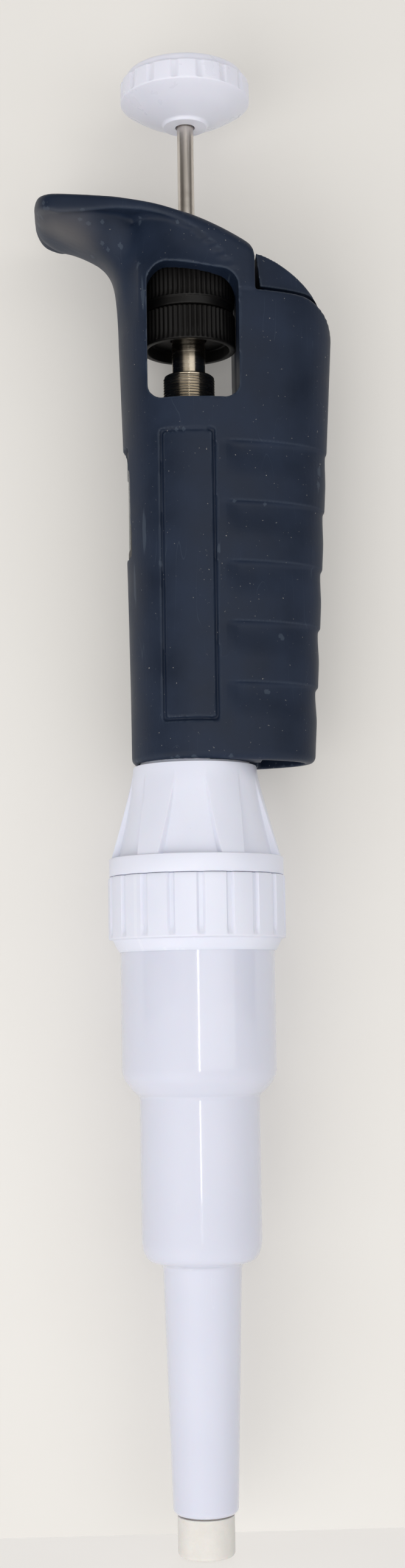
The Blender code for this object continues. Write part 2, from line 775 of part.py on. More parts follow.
def make_rod_bush(plastic):
    turned("rod_bush", [
        (BUSH_R, bay_top + BUSH_LENGTH),
        (BUSH_R, bay_top),
        (rod_hole_r, bay_top),
        (rod_hole_r, bay_top + BUSH_LENGTH),
    ], plastic, steps=SMALL_STEPS)


def make_barrel(plastic):
    rounded = arc(WAIST_R - WAIST_ROUND, nozzle_root + WAIST_ROUND + 0.0006, WAIST_ROUND, 0, -60, 4)
    waist_bore_r = WAIST_R - WAIST_WALL
    filter_hole_top = nozzle_end + FILTER_STEM_LENGTH + GAP
    turned("barrel", [
        (FLANGE_R, barrel_top),
        (FLANGE_R, barrel_top - FLANGE_THICKNESS),
        (BARREL_R, barrel_top - FLANGE_THICKNESS),
        (BARREL_R, waist_top + SHOULDER_LENGTH),
        (WAIST_R, waist_top),
    ] + rounded + [
        (NOZZLE_ROOT_R, nozzle_root),
        (NOZZLE_END_R, nozzle_end + NOZZLE_EDGE),
        (NOZZLE_END_R - NOZZLE_EDGE, nozzle_end),
        (FILTER_STEM_R + GAP, nozzle_end),
        (FILTER_STEM_R + GAP, filter_hole_top),
        (NOZZLE_BORE_R, filter_hole_top),
        (NOZZLE_BORE_R, nozzle_root + WAIST_ROUND),
        (waist_bore_r, nozzle_root + 2 * WAIST_ROUND),
        (waist_bore_r, waist_top),
        (barrel_bore_r, waist_top + SHOULDER_LENGTH),
        (barrel_bore_r, barrel_top),
    ], plastic)


def make_filter(porous):
    edge = 0.0007
    turned("nozzle_filter", [
        (0.0, nozzle_end + FILTER_STEM_LENGTH),
        (FILTER_STEM_R, nozzle_end + FILTER_STEM_LENGTH),
        (FILTER_STEM_R, FILTER_TIP_LENGTH),
        (FILTER_TIP_R, FILTER_TIP_LENGTH),
        (FILTER_TIP_R, edge),
        (FILTER_TIP_R - edge, 0.0),
        (0.0, 0.0),
    ], porous, steps=28)


def make_coupling_nut(plastic):
    ledge_r = BARREL_R + GAP
    nut = turned("coupling_nut", [
        (NUT_R - 0.0004, nut_top),
        (NUT_R, nut_top - 0.0004),
        (NUT_R, nut_foot),
        (NUT_LIP_R, nut_foot),
        (ledge_r + 0.0003, nut_foot - NUT_LIP_LENGTH),
        (ledge_r, nut_foot - NUT_LIP_LENGTH),
        (ledge_r, nut_shelf),
        (nut_bore_r, nut_shelf),
        (nut_bore_r, nut_top),
    ], plastic, steps=2 * NUT_GROOVES)
    first = math.pi / 2 / NUT_GROOVES
    cut(nut, grooves("nut_grooves", NUT_R, NUT_GROOVE_WIDTH, NUT_GROOVE_DEPTH, NUT_GROOVES,
                     nut_foot + 0.0006, nut_top + OVER, first))


def cone_radius(rise):
    """The connector's silhouette over its flange: steep at the top and flared at the foot."""
    share = rise / CONE_HEIGHT
    flare = CONE_BOTTOM_R - CONE_TOP_R
    return CONE_TOP_R + flare * max(1 - share / 0.95, 0.0) ** 1.12


def cone_ring(rise, radius=None):
    """Ribs with recesses between them, which fade out towards the top."""
    plain = CONE_HEIGHT - CONE_PLAIN_TOP
    share = min(rise / plain, 1.0)
    rib = CONE_RIB_HALF_ANGLE + CONE_RIB_SPREAD * share
    flank = 1.8
    depth = CONE_RECESS_DEPTH * (1 - share) ** 0.7
    pitch = 360 / CONE_RIBS
    middle = pitch / 2
    spots = [(-rib, 0), (0, 0), (rib, 0), (rib + flank, 1), ((rib + flank + middle) / 2, 1), (middle, 1)]
    spots += [(pitch - (rib + flank + middle) / 2, 1), (pitch - rib - flank, 1)]
    ring = []
    for k in range(CONE_RIBS):
        for turn, sunk in spots:
            angle = math.radians(k * pitch + turn + CONE_RIB_TURN)
            reach = radius or cone_radius(rise) - depth * sunk
            ring.append((reach * math.cos(angle), reach * math.sin(angle), cone_shelf + rise))
    return ring


def make_connector(plastic):
    skirt_r = FLANGE_R
    skirt_bore_r = skirt_r - SKIRT_WALL
    drop = cone_shelf - cone_foot
    plain = CONE_HEIGHT - CONE_PLAIN_TOP
    rings = [cone_ring(seat_foot - cone_shelf, skirt_r), cone_ring(-drop, skirt_r), cone_ring(-drop, CONE_FLANGE_R),
             cone_ring(-0.0003, CONE_FLANGE_R), cone_ring(0.0, CONE_FLANGE_R - 0.0003)]
    rings += [cone_ring(share * plain) for share in (0.0, 0.15, 0.35, 0.6, 0.85, 1.0)]
    rings += [cone_ring(CONE_HEIGHT - 0.0012), cone_ring(CONE_HEIGHT - 0.0003),
              cone_ring(CONE_HEIGHT, CONE_TOP_R - 0.0003), cone_ring(CONE_HEIGHT, spigot_r),
              cone_ring(CONE_HEIGHT + SPIGOT_LENGTH, spigot_r)]
    body = loft("connector", rings, plastic)
    ledge_foot = stop_ledge_top - STOP_LEDGE_THICKNESS
    hollow = turned("connector_hollow", [
        (0.0, spigot_top + OVER),
        (spigot_bore_r, spigot_top + OVER),
        (spigot_bore_r, stop_ledge_top),
        (STOP_LEDGE_BORE_R, stop_ledge_top),
        (STOP_LEDGE_BORE_R, ledge_foot),
        (skirt_bore_r, cone_foot + 0.0010),
        (skirt_bore_r, seat_foot - OVER),
        (0.0, seat_foot - OVER),
    ], steps=32)
    cut(body, hollow)


def make_springs(steel):
    coil("main_spring", MAIN_SPRING_R, MAIN_SPRING_WIRE, seat_top + GAP, collar_foot - GAP, MAIN_SPRING_TURNS, steel)
    coil("blowout_spring", BLOWOUT_SPRING_R, BLOWOUT_SPRING_WIRE, stop_ledge_top + GAP, plate_foot - GAP,
         BLOWOUT_SPRING_TURNS, steel)
    coil("ejector_spring", EJECTOR_SPRING_R, EJECTOR_SPRING_WIRE, ejector_spring_foot,
         ejector_spring_foot + EJECTOR_SPRING_LENGTH, EJECTOR_SPRING_TURNS, steel, EJECTOR_X)
    turned("spring_seat", [
        (SEAT_R, seat_top),
        (SEAT_R, seat_foot),
        (PISTON_ROD_R + GAP, seat_foot),
        (PISTON_ROD_R + GAP, seat_top),
    ], steel, steps=INNER_STEPS)


def make_plunger(steel, white, nylon, rubber):
    hub_foot = head_height(0.0) + BUTTON_LIFT
    rim_foot = hub_foot + BUTTON_FLARE_HEIGHT
    rim_top = rim_foot + BUTTON_RIM_HEIGHT
    seat = rim_top - CAP_SUNK
    rod_end = seat - ROD_SUNK
    button = turned("push_button", [
        (BUTTON_R - BUTTON_EDGE, rim_top),
        (BUTTON_R, rim_top - BUTTON_EDGE),
        (BUTTON_R, rim_foot),
        *((radius, hub_foot + height) for radius, height in BUTTON_FLARE),
        (BUTTON_HUB_R, hub_foot),
        (rod_hole_r, hub_foot),
        (rod_hole_r, rod_end + GAP),
        (BUTTON_WELL_R, rod_end + GAP),
        (BUTTON_WELL_R, seat),
        (CAP_R + GAP, seat),
        (CAP_R + GAP, rim_top),
    ], white)
    scallops = bmesh.new()
    for k in range(BUTTON_SCALLOPS):
        turn = Matrix.Rotation(math.tau * (k + 0.5) / BUTTON_SCALLOPS, 4, "Z")
        place = Matrix.Translation((BUTTON_R + BUTTON_SCALLOP_R - BUTTON_SCALLOP_DEPTH, 0.0, rim_foot + BUTTON_RIM_HEIGHT / 2))
        bmesh.ops.create_cone(scallops, cap_ends=True, segments=12, radius1=BUTTON_SCALLOP_R,
                              radius2=BUTTON_SCALLOP_R, depth=2 * BUTTON_RIM_HEIGHT, matrix=turn @ place)
    cut(button, from_bmesh("button_scallops", scallops))
    cap_foot = seat + GAP
    cap_top = cap_foot + CAP_HEIGHT
    dome = arc(CAP_R - CAP_EDGE, cap_top - 0.0006 - CAP_EDGE, CAP_EDGE, 90, 0, 4)
    turned("button_cap", [(0.0, cap_top), (0.45 * CAP_R, cap_top - 0.0001), (0.72 * CAP_R, cap_top - 0.0003)]
           + dome + [(CAP_R, cap_foot), (0.0, cap_foot)], white)
    turned("push_rod", [
        (0.0, rod_end), (ROD_R - 0.0002, rod_end), (ROD_R, rod_end - 0.0002),
        (ROD_R, socket_floor + GAP), (0.0, socket_floor + GAP),
    ], steel, steps=SMALL_STEPS)
    hub_end = collar_foot - COLLAR_HUB_LENGTH
    turned("rod_collar", [
        (COLLAR_R, collar_top),
        (COLLAR_R, collar_foot),
        (COLLAR_HUB_R, collar_foot),
        (COLLAR_HUB_R, hub_end),
        (PISTON_ROD_R + GAP, hub_end),
        (PISTON_ROD_R + GAP, socket_floor - COLLAR_WEB),
        (COLLAR_VENT_R, socket_floor - COLLAR_WEB),
        (COLLAR_VENT_R, socket_floor),
        (rod_hole_r, socket_floor),
        (rod_hole_r, collar_top),
    ], nylon, steps=INNER_STEPS)
    screw_hole = PISTON_SCREW_R + GAP
    rod_foot = piston_foot + PISTON_SCREW_HEAD + 0.0012
    hole_top = piston_foot + PISTON_SCREW_LENGTH + GAP
    turned("piston_rod", [
        (0.0, socket_floor - COLLAR_WEB - GAP),
        (PISTON_ROD_R, socket_floor - COLLAR_WEB - GAP),
        (PISTON_ROD_R, rod_foot),
        (screw_hole, rod_foot),
        (screw_hole, hole_top),
        (0.0, hole_top),
    ], steel, steps=SMALL_STEPS)
    groove_foot = piston_foot + 0.0018
    groove_top = groove_foot + SEAL_HEIGHT + 2 * GAP
    groove_r = SEAL_R - SEAL_WIDTH - 2 * GAP - 2 * ORING_WIRE
    head_hole = PISTON_SCREW_HEAD_R + GAP
    turned("piston", [
        (PISTON_HUB_R, piston_top + PISTON_HUB_HEIGHT),
        (PISTON_HUB_R, piston_top),
        (PISTON_R, piston_top),
        (PISTON_R, groove_top),
        (groove_r, groove_top),
        (groove_r, groove_foot),
        (PISTON_R, groove_foot),
        (PISTON_R, piston_foot),
        (head_hole, piston_foot),
        (head_hole, piston_foot + PISTON_SCREW_HEAD + GAP),
        (screw_hole, piston_foot + PISTON_SCREW_HEAD + GAP),
        (screw_hole, rod_foot - GAP),
        (PISTON_ROD_R + GAP, rod_foot - GAP),
        (PISTON_ROD_R + GAP, piston_top + PISTON_HUB_HEIGHT),
    ], nylon, steps=INNER_STEPS)
    seal_foot = groove_foot + GAP
    turned("piston_seal", [
        (SEAL_R, seal_foot + SEAL_HEIGHT),
        (SEAL_R, seal_foot),
        (SEAL_R - SEAL_WIDTH, seal_foot),
        (SEAL_R - SEAL_WIDTH, seal_foot + SEAL_HEIGHT),
    ], white, steps=INNER_STEPS)
    torus("piston_o_ring", SEAL_R - SEAL_WIDTH - GAP - ORING_WIRE, ORING_WIRE, seal_foot + SEAL_HEIGHT / 2, rubber)
    turned("piston_screw", [
        (0.0, piston_foot + PISTON_SCREW_LENGTH),
        (PISTON_SCREW_R, piston_foot + PISTON_SCREW_LENGTH),
        (PISTON_SCREW_R, piston_foot + PISTON_SCREW_HEAD),
        (PISTON_SCREW_HEAD_R, piston_foot + PISTON_SCREW_HEAD),
        (PISTON_SCREW_HEAD_R, piston_foot),
        (0.0, piston_foot),
    ], steel, steps=SMALL_STEPS)
    turned("blowout_plate", [
        (PLATE_R, plate_top),
        (PLATE_R, plate_foot),
        (PLATE_BORE_R, plate_foot),
        (PLATE_BORE_R, plate_top),
    ], steel, steps=INNER_STEPS)


def make_screw(steel, brass, rubber, black):
    body = turned("micrometer_screw", [
        (0.0, screw_top),
        (NECK_R, screw_top),
        (NECK_R, thread_top),
        (THREAD_R - SCREW_CHAMFER, thread_top),
        (THREAD_R, thread_top - SCREW_CHAMFER),
        (THREAD_R, thread_foot),
        (0.0, thread_foot),
    ], steel, steps=INNER_STEPS)
    hexagon = arc(0.0, 0.0, TAIL_R, 0, 300, 5)
    tail = plate("screw_tail", hexagon, tail_end, thread_foot + BITE)
    join(body, tail)
    cut(body, rod("screw_bore", rod_hole_r, tail_end - OVER, screw_top + OVER))
    turned("screw_nut", [
        (NUT_BODY_R, nut_top_in_window),
        (NUT_BODY_R, counter_top),
        (NUT_FLANGE_R, counter_top),
        (NUT_FLANGE_R, nut_flange_foot),
        (NUT_SLEEVE_R, nut_flange_foot),
        (NUT_SLEEVE_R, counter_foot + COUNTER_PITCH + GAP),
        (thread_hole_r, counter_foot + COUNTER_PITCH + GAP),
        (thread_hole_r, nut_top_in_window),
    ], brass, steps=INNER_STEPS)
    torus("friction_ring", thread_hole_r + FRICTION_RING_WIRE, FRICTION_RING_WIRE,
          nut_top_in_window + GAP + FRICTION_RING_WIRE, rubber)
    hole = NECK_R + GAP
    edge = 0.0003
    lower = turned("thumbwheel_lower", [
        (WHEEL_R - edge, wheel_split - GAP),
        (WHEEL_R, wheel_split - GAP - edge),
        (WHEEL_R, wheel_foot + edge),
        (WHEEL_R - edge, wheel_foot),
        (WHEEL_R - 0.0010, wheel_foot),
        (WHEEL_R - 0.0014, wheel_foot + 0.0004),
        (hole, wheel_foot + 0.0004),
        (hole, wheel_split - GAP),
    ], black, steps=WHEEL_RIDGES)
    half = math.pi / WHEEL_RIDGES
    cut(lower, grooves("lower_knurl", WHEEL_R, WHEEL_GROOVE_WIDTH, WHEEL_GROOVE_DEPTH, WHEEL_RIDGES,
                       wheel_foot + 0.0007, wheel_split + OVER, half))
    band = wheel_split + WHEEL_SMOOTH_BAND
    upper = turned("thumbwheel_upper", [
        (WHEEL_UPPER_R - edge, wheel_top),
        (WHEEL_UPPER_R, wheel_top - edge),
        (WHEEL_UPPER_R, band + edge),
        (WHEEL_SMOOTH_R, band),
        (WHEEL_SMOOTH_R, wheel_split + edge),
        (WHEEL_SMOOTH_R - edge, wheel_split),
        (hole, wheel_split),
        (hole, wheel_top),
    ], black, steps=WHEEL_RIDGES)
    cut(upper, grooves("upper_knurl", WHEEL_UPPER_R, WHEEL_GROOVE_WIDTH, WHEEL_GROOVE_DEPTH, WHEEL_RIDGES,
                       band + 2 * edge, wheel_top + OVER, half))


def make_counter(white, black, steel):
    bores = (None, NUT_SLEEVE_R + GAP, NUT_SLEEVE_R + GAP)
    names = ("hundredths_wheel", "tenths_wheel", "millilitre_wheel")
    for k, name in enumerate(names):
        base = counter_foot + k * COUNTER_PITCH
        ring_top = base + COUNTER_RING_HEIGHT
        band = base + COUNTER_RING_HEIGHT + COUNTER_STEP
        band_top = band + COUNTER_BAND_HEIGHT
        disc_top = band_top + (COUNTER_DISC_HEIGHT if k < 2 else COUNTER_STEP)
        if k == 0:
            foot = band
        else:
            foot = base + GAP
        profile = [(0.0, disc_top), (COUNTER_DISC_R, disc_top), (COUNTER_DISC_R, band_top)]
        profile += [(COUNTER_WHEEL_R, band_top), (COUNTER_WHEEL_R, band)]
        if k:
            profile += [(COUNTER_DISC_R, band), (COUNTER_DISC_R, foot + BITE)]
            profile += [(0.0, foot + BITE)]
        else:
            profile += [(0.0, foot)]
        wheel = turned(name, profile, white, steps=WHEEL_TEETH)
        if k:
            teeth = plate(name + "_teeth", gear_outline(WHEEL_TEETH, 0.0), foot, ring_top + GAP)
            join(wheel, teeth)
            hole = rod(name + "_bore", bores[k], base - OVER, disc_top + OVER, steps=WHEEL_TEETH)
        else:
            hexagon = arc(0.0, 0.0, TAIL_R + GAP / math.cos(math.pi / 6), 0, 300, 5)
            hole = plate(name + "_bore", hexagon, foot - OVER, disc_top + OVER)
        cut(wheel, hole)
    floor_top = counter_floor_top
    lug_foot = nut_flange_foot - LUG_OVERHANG
    teeth_foot = floor_top + GAP + COUNTER_BAND_HEIGHT + GAP
    for k, name in enumerate(("tenths_pinion", "millilitre_pinion")):
        low = teeth_foot + k * COUNTER_PITCH
        hub_low = floor_top + GAP if k == 0 else low
        hub_high = low + COUNTER_PITCH - GAP if k == 0 else lug_foot - GAP
        phase = math.pi / PINION_TEETH
        pinion = plate(name, gear_outline(PINION_TEETH, phase, pinion_x), low, low + PINION_FACE, white)
        if k == 0:
            join(pinion, rod(name + "_hub", PINION_HUB_R, hub_low, hub_high, centre_x=pinion_x, steps=16))
        else:
            join(pinion, rod(name + "_hub", PINION_HUB_R, hub_low + BITE, hub_high, centre_x=pinion_x, steps=16))
        cut(pinion, rod(name + "_bore", PINION_BORE_R, hub_low - OVER, hub_high + OVER, centre_x=pinion_x, steps=16))
    inner_r = counter_r - COUNTER_SHELL
    frame = turned("counter_frame", [
        (counter_r, counter_top),
        (counter_r, tail_end),
        (TAIL_R + GAP + BITE, tail_end),
        (TAIL_R + GAP + BITE, floor_top),
        (inner_r, floor_top),
        (inner_r, counter_top),
    ], black, steps=32)
    lug_x = pinion_x + PINION_BORE_R + 0.0009
    side = COUNTER_LUG_HALF_WIDTH
    lugs = [
        box("lower_lug", (inner_r - 0.0006, -side, tail_end + 0.0001), (lug_x, side, floor_top - 0.0001)),
        box("upper_lug", (inner_r + BITE, -side, lug_foot), (lug_x, side, counter_top - 0.0001)),
    ]
    window = box("counter_window", (-counter_r - OVER, -DISPLAY_HALF_WIDTH, floor_top + 0.0002),
                 (-inner_r / 2, DISPLAY_HALF_WIDTH, counter_top - COUNTER_RIM))
    wide = COUNTER_SLOT_HALF_WIDTH
    slot = box("counter_slot", (inner_r / 2, -wide, floor_top), (counter_r + OVER, wide, lug_foot))
    shaft_low, shaft_high = floor_top - SHAFT_SOCKET, lug_foot + SHAFT_SOCKET
    sockets = rod("shaft_sockets", PINION_BORE_R, shaft_low, shaft_high, centre_x=pinion_x, steps=16)
    cut(frame, slot, window)
    join(frame, *lugs)
    cut(frame, sockets)
    rod("pinion_shaft", PINION_SHAFT_R, shaft_low + GAP, shaft_high - GAP, steel, pinion_x, steps=16)


def make_display(black, clear):
    outer_r = front_radius(DECK_HEIGHT - DISPLAY_HEIGHT) - DISPLAY_RECESS
    side = DISPLAY_HALF_WIDTH - GAP
    low, high = display_foot + GAP, display_foot + DISPLAY_HEIGHT - GAP
    bezel = turned("display_bezel", [
        (outer_r, high + OVER),
        (outer_r, low - OVER),
        (outer_r - BEZEL_THICKNESS, low - OVER),
        (outer_r - BEZEL_THICKNESS, high + OVER),
    ], black, steps=72)
    blank = plate("bezel_blank", rounded_box(-side, side, low, high, DISPLAY_ROUND), 0.0, 2 * outer_r, along="Y")
    blank.rotation_euler.z = math.pi / 2
    keep_inside(bezel, blank)
    rim = side - BEZEL_RIM
    hole = plate("bezel_hole", rounded_box(-rim, rim, low + BEZEL_RIM, high - BEZEL_RIM, 0.0005, 3),
                 0.0, 2 * outer_r, along="Y")
    hole.rotation_euler.z = math.pi / 2
    cut(bezel, hole)
    lens_r = outer_r - 0.0001
    lens = turned("display_lens", [
        (lens_r, high + OVER),
        (lens_r, low - OVER),
        (lens_r - LENS_THICKNESS, low - OVER),
        (lens_r - LENS_THICKNESS, high + OVER),
    ], clear, steps=72)
    pane = rim - GAP
    glass = plate("lens_blank", rounded_box(-pane, pane, low + BEZEL_RIM + GAP, high - BEZEL_RIM - GAP, 0.0004, 3),
                  0.0, 2 * outer_r, along="Y")
    glass.rotation_euler.z = math.pi / 2
    keep_inside(lens, glass)


def make_ejector(plastic, steel, nylon):
    top, tip = handle_shoulder + WEDGE_RISE, handle_shoulder - WEDGE_TIP_DROP
    low = handle_shoulder + WEDGE_LIFT
    length, height = WEDGE_BACK_X - WEDGE_FRONT_X, top - tip
    side = [(WEDGE_FRONT_X + WEDGE_LEAN, low)]
    side += arc(WEDGE_BACK_X - WEDGE_UNDER_R, low - WEDGE_UNDER_R, WEDGE_UNDER_R, 90, 25, 4)
    for k in range(11, -1, -1):
        share = math.sin(math.pi / 2 * k / 12)
        side.append((WEDGE_FRONT_X + length * share, tip + height * (1 - share**WEDGE_POWER) ** (1 / WEDGE_POWER)))
    deep = front_radius(HANDLE_BODY_HEIGHT)
    button = plate("ejector_button", side, -deep, deep, plastic, along="Y")
    keep_inside(button, plate("wedge_plan", wedge_outline(0.0), wedge_foot, top + OVER))
    neck = plate("wedge_neck", wedge_outline(-WEDGE_NECK_INSET), wedge_foot, low + BITE)
    stem_foot = wedge_foot - STEM_LENGTH
    stem = rod("ejector_stem", STEM_R, stem_foot, wedge_foot + STEM_R, centre_x=EJECTOR_X)
    join(button, neck, stem)
    socket_top = wedge_foot - WEDGE_LEAN
    cut(button, rod("stem_socket", EJECTOR_ROD_R + GAP, stem_foot - OVER, socket_top, centre_x=EJECTOR_X))
    rod("ejector_rod", EJECTOR_ROD_R, handle_foot + EJECTOR_ROD_END, socket_top - GAP, steel, EJECTOR_X, BITE)
    collar_high = stem_foot - GAP
    turned("ejector_collar", [
        (EJECTOR_COLLAR_R, collar_high),
        (EJECTOR_COLLAR_R, collar_high - EJECTOR_COLLAR_THICKNESS),
        (EJECTOR_ROD_R + GAP, collar_high - EJECTOR_COLLAR_THICKNESS),
        (EJECTOR_ROD_R + GAP, collar_high),
    ], nylon, EJECTOR_X, SMALL_STEPS)


cone_shelf = cone_foot + CONE_FLANGE_THICKNESS
wedge_foot = handle_shoulder - WEDGE_SKIRT
ejector_spring_foot = wedge_foot - STEM_LENGTH - GAP - EJECTOR_COLLAR_THICKNESS - EJECTOR_SPRING_LENGTH

clear_scene()
handle_plastic = finish("slate moulded plastic", 0.026, 0.034, 0.054, 0.42)
white_plastic = finish("white moulded plastic", 0.78, 0.78, 0.82, 0.3)
black_plastic = finish("black moulded plastic", 0.012, 0.012, 0.013, 0.35)
nylon = finish("natural nylon", 0.62, 0.60, 0.52, 0.5)
rubber = finish("black rubber", 0.015, 0.015, 0.015, 0.7)
steel = finish("turned steel", 0.55, 0.53, 0.50, 0.25, 1.0)
brass = finish("brass", 0.60, 0.42, 0.18, 0.3, 1.0)
porous = finish("porous filter", 0.80, 0.77, 0.70, 0.9)
clear_plastic = finish("clear window", 0.75, 0.80, 0.82, 0.05)

make_handle(handle_plastic)
make_rod_bush(nylon)
make_barrel(white_plastic)
make_filter(porous)
make_coupling_nut(white_plastic)
make_connector(white_plastic)
make_springs(steel)
make_plunger(steel, white_plastic, nylon, rubber)
make_screw(steel, brass, rubber, black_plastic)
make_counter(white_plastic, black_plastic, steel)
make_display(black_plastic, clear_plastic)
make_ejector(handle_plastic, steel, nylon)
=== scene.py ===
# Adjustable pipette of 5 mL: fine pieces, finishes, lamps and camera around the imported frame.
# The frame is in metres with +Z up. Shapes here are drawn in millimetres and scaled as they are placed.
# The plunger runs along Z, the filter's end face is at Z = 0 and the finger hook points to -X.

import math

import bmesh
import bpy
from mathutils import Matrix, Vector


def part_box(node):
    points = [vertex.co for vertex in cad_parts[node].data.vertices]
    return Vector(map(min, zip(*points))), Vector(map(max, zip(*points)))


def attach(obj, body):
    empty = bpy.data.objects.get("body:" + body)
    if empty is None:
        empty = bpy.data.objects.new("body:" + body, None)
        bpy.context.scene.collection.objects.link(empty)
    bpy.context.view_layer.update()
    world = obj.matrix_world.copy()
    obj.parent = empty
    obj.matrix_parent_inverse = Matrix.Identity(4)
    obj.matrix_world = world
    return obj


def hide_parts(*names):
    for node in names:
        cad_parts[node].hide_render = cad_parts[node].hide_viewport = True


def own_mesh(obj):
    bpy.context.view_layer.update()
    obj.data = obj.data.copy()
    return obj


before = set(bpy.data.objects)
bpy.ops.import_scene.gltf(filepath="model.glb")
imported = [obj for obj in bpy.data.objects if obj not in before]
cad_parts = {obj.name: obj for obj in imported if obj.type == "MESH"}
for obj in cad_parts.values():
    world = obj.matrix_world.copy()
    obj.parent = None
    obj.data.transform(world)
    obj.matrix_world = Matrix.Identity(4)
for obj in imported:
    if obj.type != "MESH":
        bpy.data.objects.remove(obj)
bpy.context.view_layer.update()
print("frame loaded:", len(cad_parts), "nodes")

mm = 0.001
scene = bpy.context.scene
scene.view_settings.view_transform = "Standard"


# Small tools

def hexColour(code):
    channels = [int(code[i:i + 2], 16) / 255 for i in (1, 3, 5)]
    return (*[c / 12.92 if c <= 0.04045 else ((c + 0.055) / 1.055) ** 2.4 for c in channels], 1.0)


def perMm(size):
    return 1 / (size * mm)  # texture scale for a feature of this many millimetres


def feed(tree, node, inputs):
    # an input that is given a node or a socket is linked to it, any other is set, and a hex value is a colour
    for key, value in inputs.items():
        if isinstance(value, str):
            value = hexColour(value)
        if isinstance(value, bpy.types.Node):
            value = next(socket for socket in value.outputs if socket.enabled)
        if isinstance(value, bpy.types.NodeSocket):
            tree.links.new(value, node.inputs[key])
        else:
            node.inputs[key].default_value = value


def addNode(tree, kind, inputs={}, **settings):
    node = tree.nodes.new("ShaderNode" + kind)
    for key, value in settings.items():
        setattr(node, key, value)
    feed(tree, node, inputs)
    return node


def newMaterial(name):
    material = bpy.data.materials.new(name)
    material.use_nodes = True
    tree = material.node_tree
    return material, tree, tree.nodes["Principled BSDF"], addNode(tree, "TexCoord").outputs["Object"]


def ease(value, start, full):
    share = min(max((value - start) / (full - start), 0.0), 1.0)
    return share * share * (3 - 2 * share)


def place(name, shape, material, body, replaced=(), sharpAngle=40):
    mesh = shape
    if isinstance(shape, bmesh.types.BMesh):
        mesh = bpy.data.meshes.new(name)
        bmesh.ops.recalc_face_normals(shape, faces=shape.faces)
        shape.to_mesh(mesh)
        shape.free()
    mesh.transform(Matrix.Scale(mm, 4))
    mesh.materials.clear()
    mesh.materials.append(material)
    mesh.shade_smooth()
    mesh.set_sharp_from_angle(angle=math.radians(sharpAngle))
    piece = bpy.data.objects.new(name, mesh)
    scene.collection.objects.link(piece)
    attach(piece, body)
    if replaced:
        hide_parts(*replaced)
    return piece


def roundCorners(points, steps=4):
    # points are (radius, height) or (radius, height, corner); a corner is rounded by that many millimetres
    count = len(points)
    soft = []
    for i, point in enumerate(points):
        here = Vector(point[:2])
        size = point[2] if len(point) > 2 else 0.0
        if not size:
            soft.append(tuple(here))
            continue
        before = Vector(points[(i - 1) % count][:2]) - here
        after = Vector(points[(i + 1) % count][:2]) - here
        start = here + before.normalized() * min(size, before.length * 0.5)
        end = here + after.normalized() * min(size, after.length * 0.5)
        for k in range(steps + 1):
            t = k / steps
            soft.append(tuple(start * (1 - t) ** 2 + here * 2 * t * (1 - t) + end * t ** 2))
    return soft


def polar(reach, angle, height):
    return (reach * math.cos(angle), reach * math.sin(angle), height)


def roundBody(profile, count, dent=None):
    # a profile turned about Z; dent(angle, radius, height) takes millimetres off the radius
    shape = bmesh.new()
    rows = []
    for radius, height in profile:
        if radius < 0.0001:
            rows.append([shape.verts.new((0, 0, height))])
            continue
        row = []
        for k in range(count):
            angle = math.tau * k / count
            reach = radius - (dent(angle, radius, height) if dent else 0.0)
            row.append(shape.verts.new(polar(reach, angle, height)))
        rows.append(row)
    pairs = list(zip(rows, rows[1:]))
    if len(rows[0]) > 1:
        pairs.append((rows[-1], rows[0]))
    for low, high in pairs:
        for k in range(count):
            j = (k + 1) % count
            if len(low) == 1:
                shape.faces.new((low[0], high[j], high[k]))
            elif len(high) == 1:
                shape.faces.new((low[k], low[j], high[0]))
            else:
                shape.faces.new((low[k], low[j], high[j], high[k]))
    bmesh.ops.recalc_face_normals(shape, faces=shape.faces)
    return shape


def pin(radius, high, low, count):
    return roundBody([(0.0, high), (radius, high), (radius, low), (0.0, low)], count)


def skin(rings, closed=False):
    # faces between rings of points; it is capped at both ends, or its last ring is joined to the first
    shape = bmesh.new()
    rows = [[shape.verts.new(point) for point in ring] for ring in rings]
    count = len(rows[0])
    for row, above in zip(rows, rows[1:] + rows[:1] if closed else rows[1:]):
        for i in range(count):
            j = (i + 1) % count
            shape.faces.new((row[i], row[j], above[j], above[i]))
    if not closed:
        shape.faces.new(rows[0])
        shape.faces.new(rows[-1])
    bmesh.ops.recalc_face_normals(shape, faces=shape.faces)
    return shape


def prism(outline, low, high, along="Z"):
    axis = "XYZ".index(along)
    return skin([[(*point[:axis], depth, *point[axis:]) for point in outline] for depth in (low, high)])


def arc(centreX, centreY, radius, start, end, steps):
    angles = [math.radians(start + (end - start) * k / steps) for k in range(steps + 1)]
    return [(centreX + radius * math.cos(a), centreY + radius * math.sin(a)) for a in angles]


def roundedBox(left, right, low, high, radius, steps=6):
    corners = ((right, high, 0), (left, high, 90), (left, low, 180), (right, low, 270))
    points = []
    for x, y, start in corners:
        middleX = x - radius if x == right else x + radius
        middleY = y - radius if y == high else y + radius
        points += arc(middleX, middleY, radius, start, start + 90, steps)
    return points


def workObject(name, shape):
    mesh = bpy.data.meshes.new(name)
    shape.to_mesh(mesh)
    shape.free()
    item = bpy.data.objects.new(name, mesh)
    scene.collection.objects.link(item)
    return item


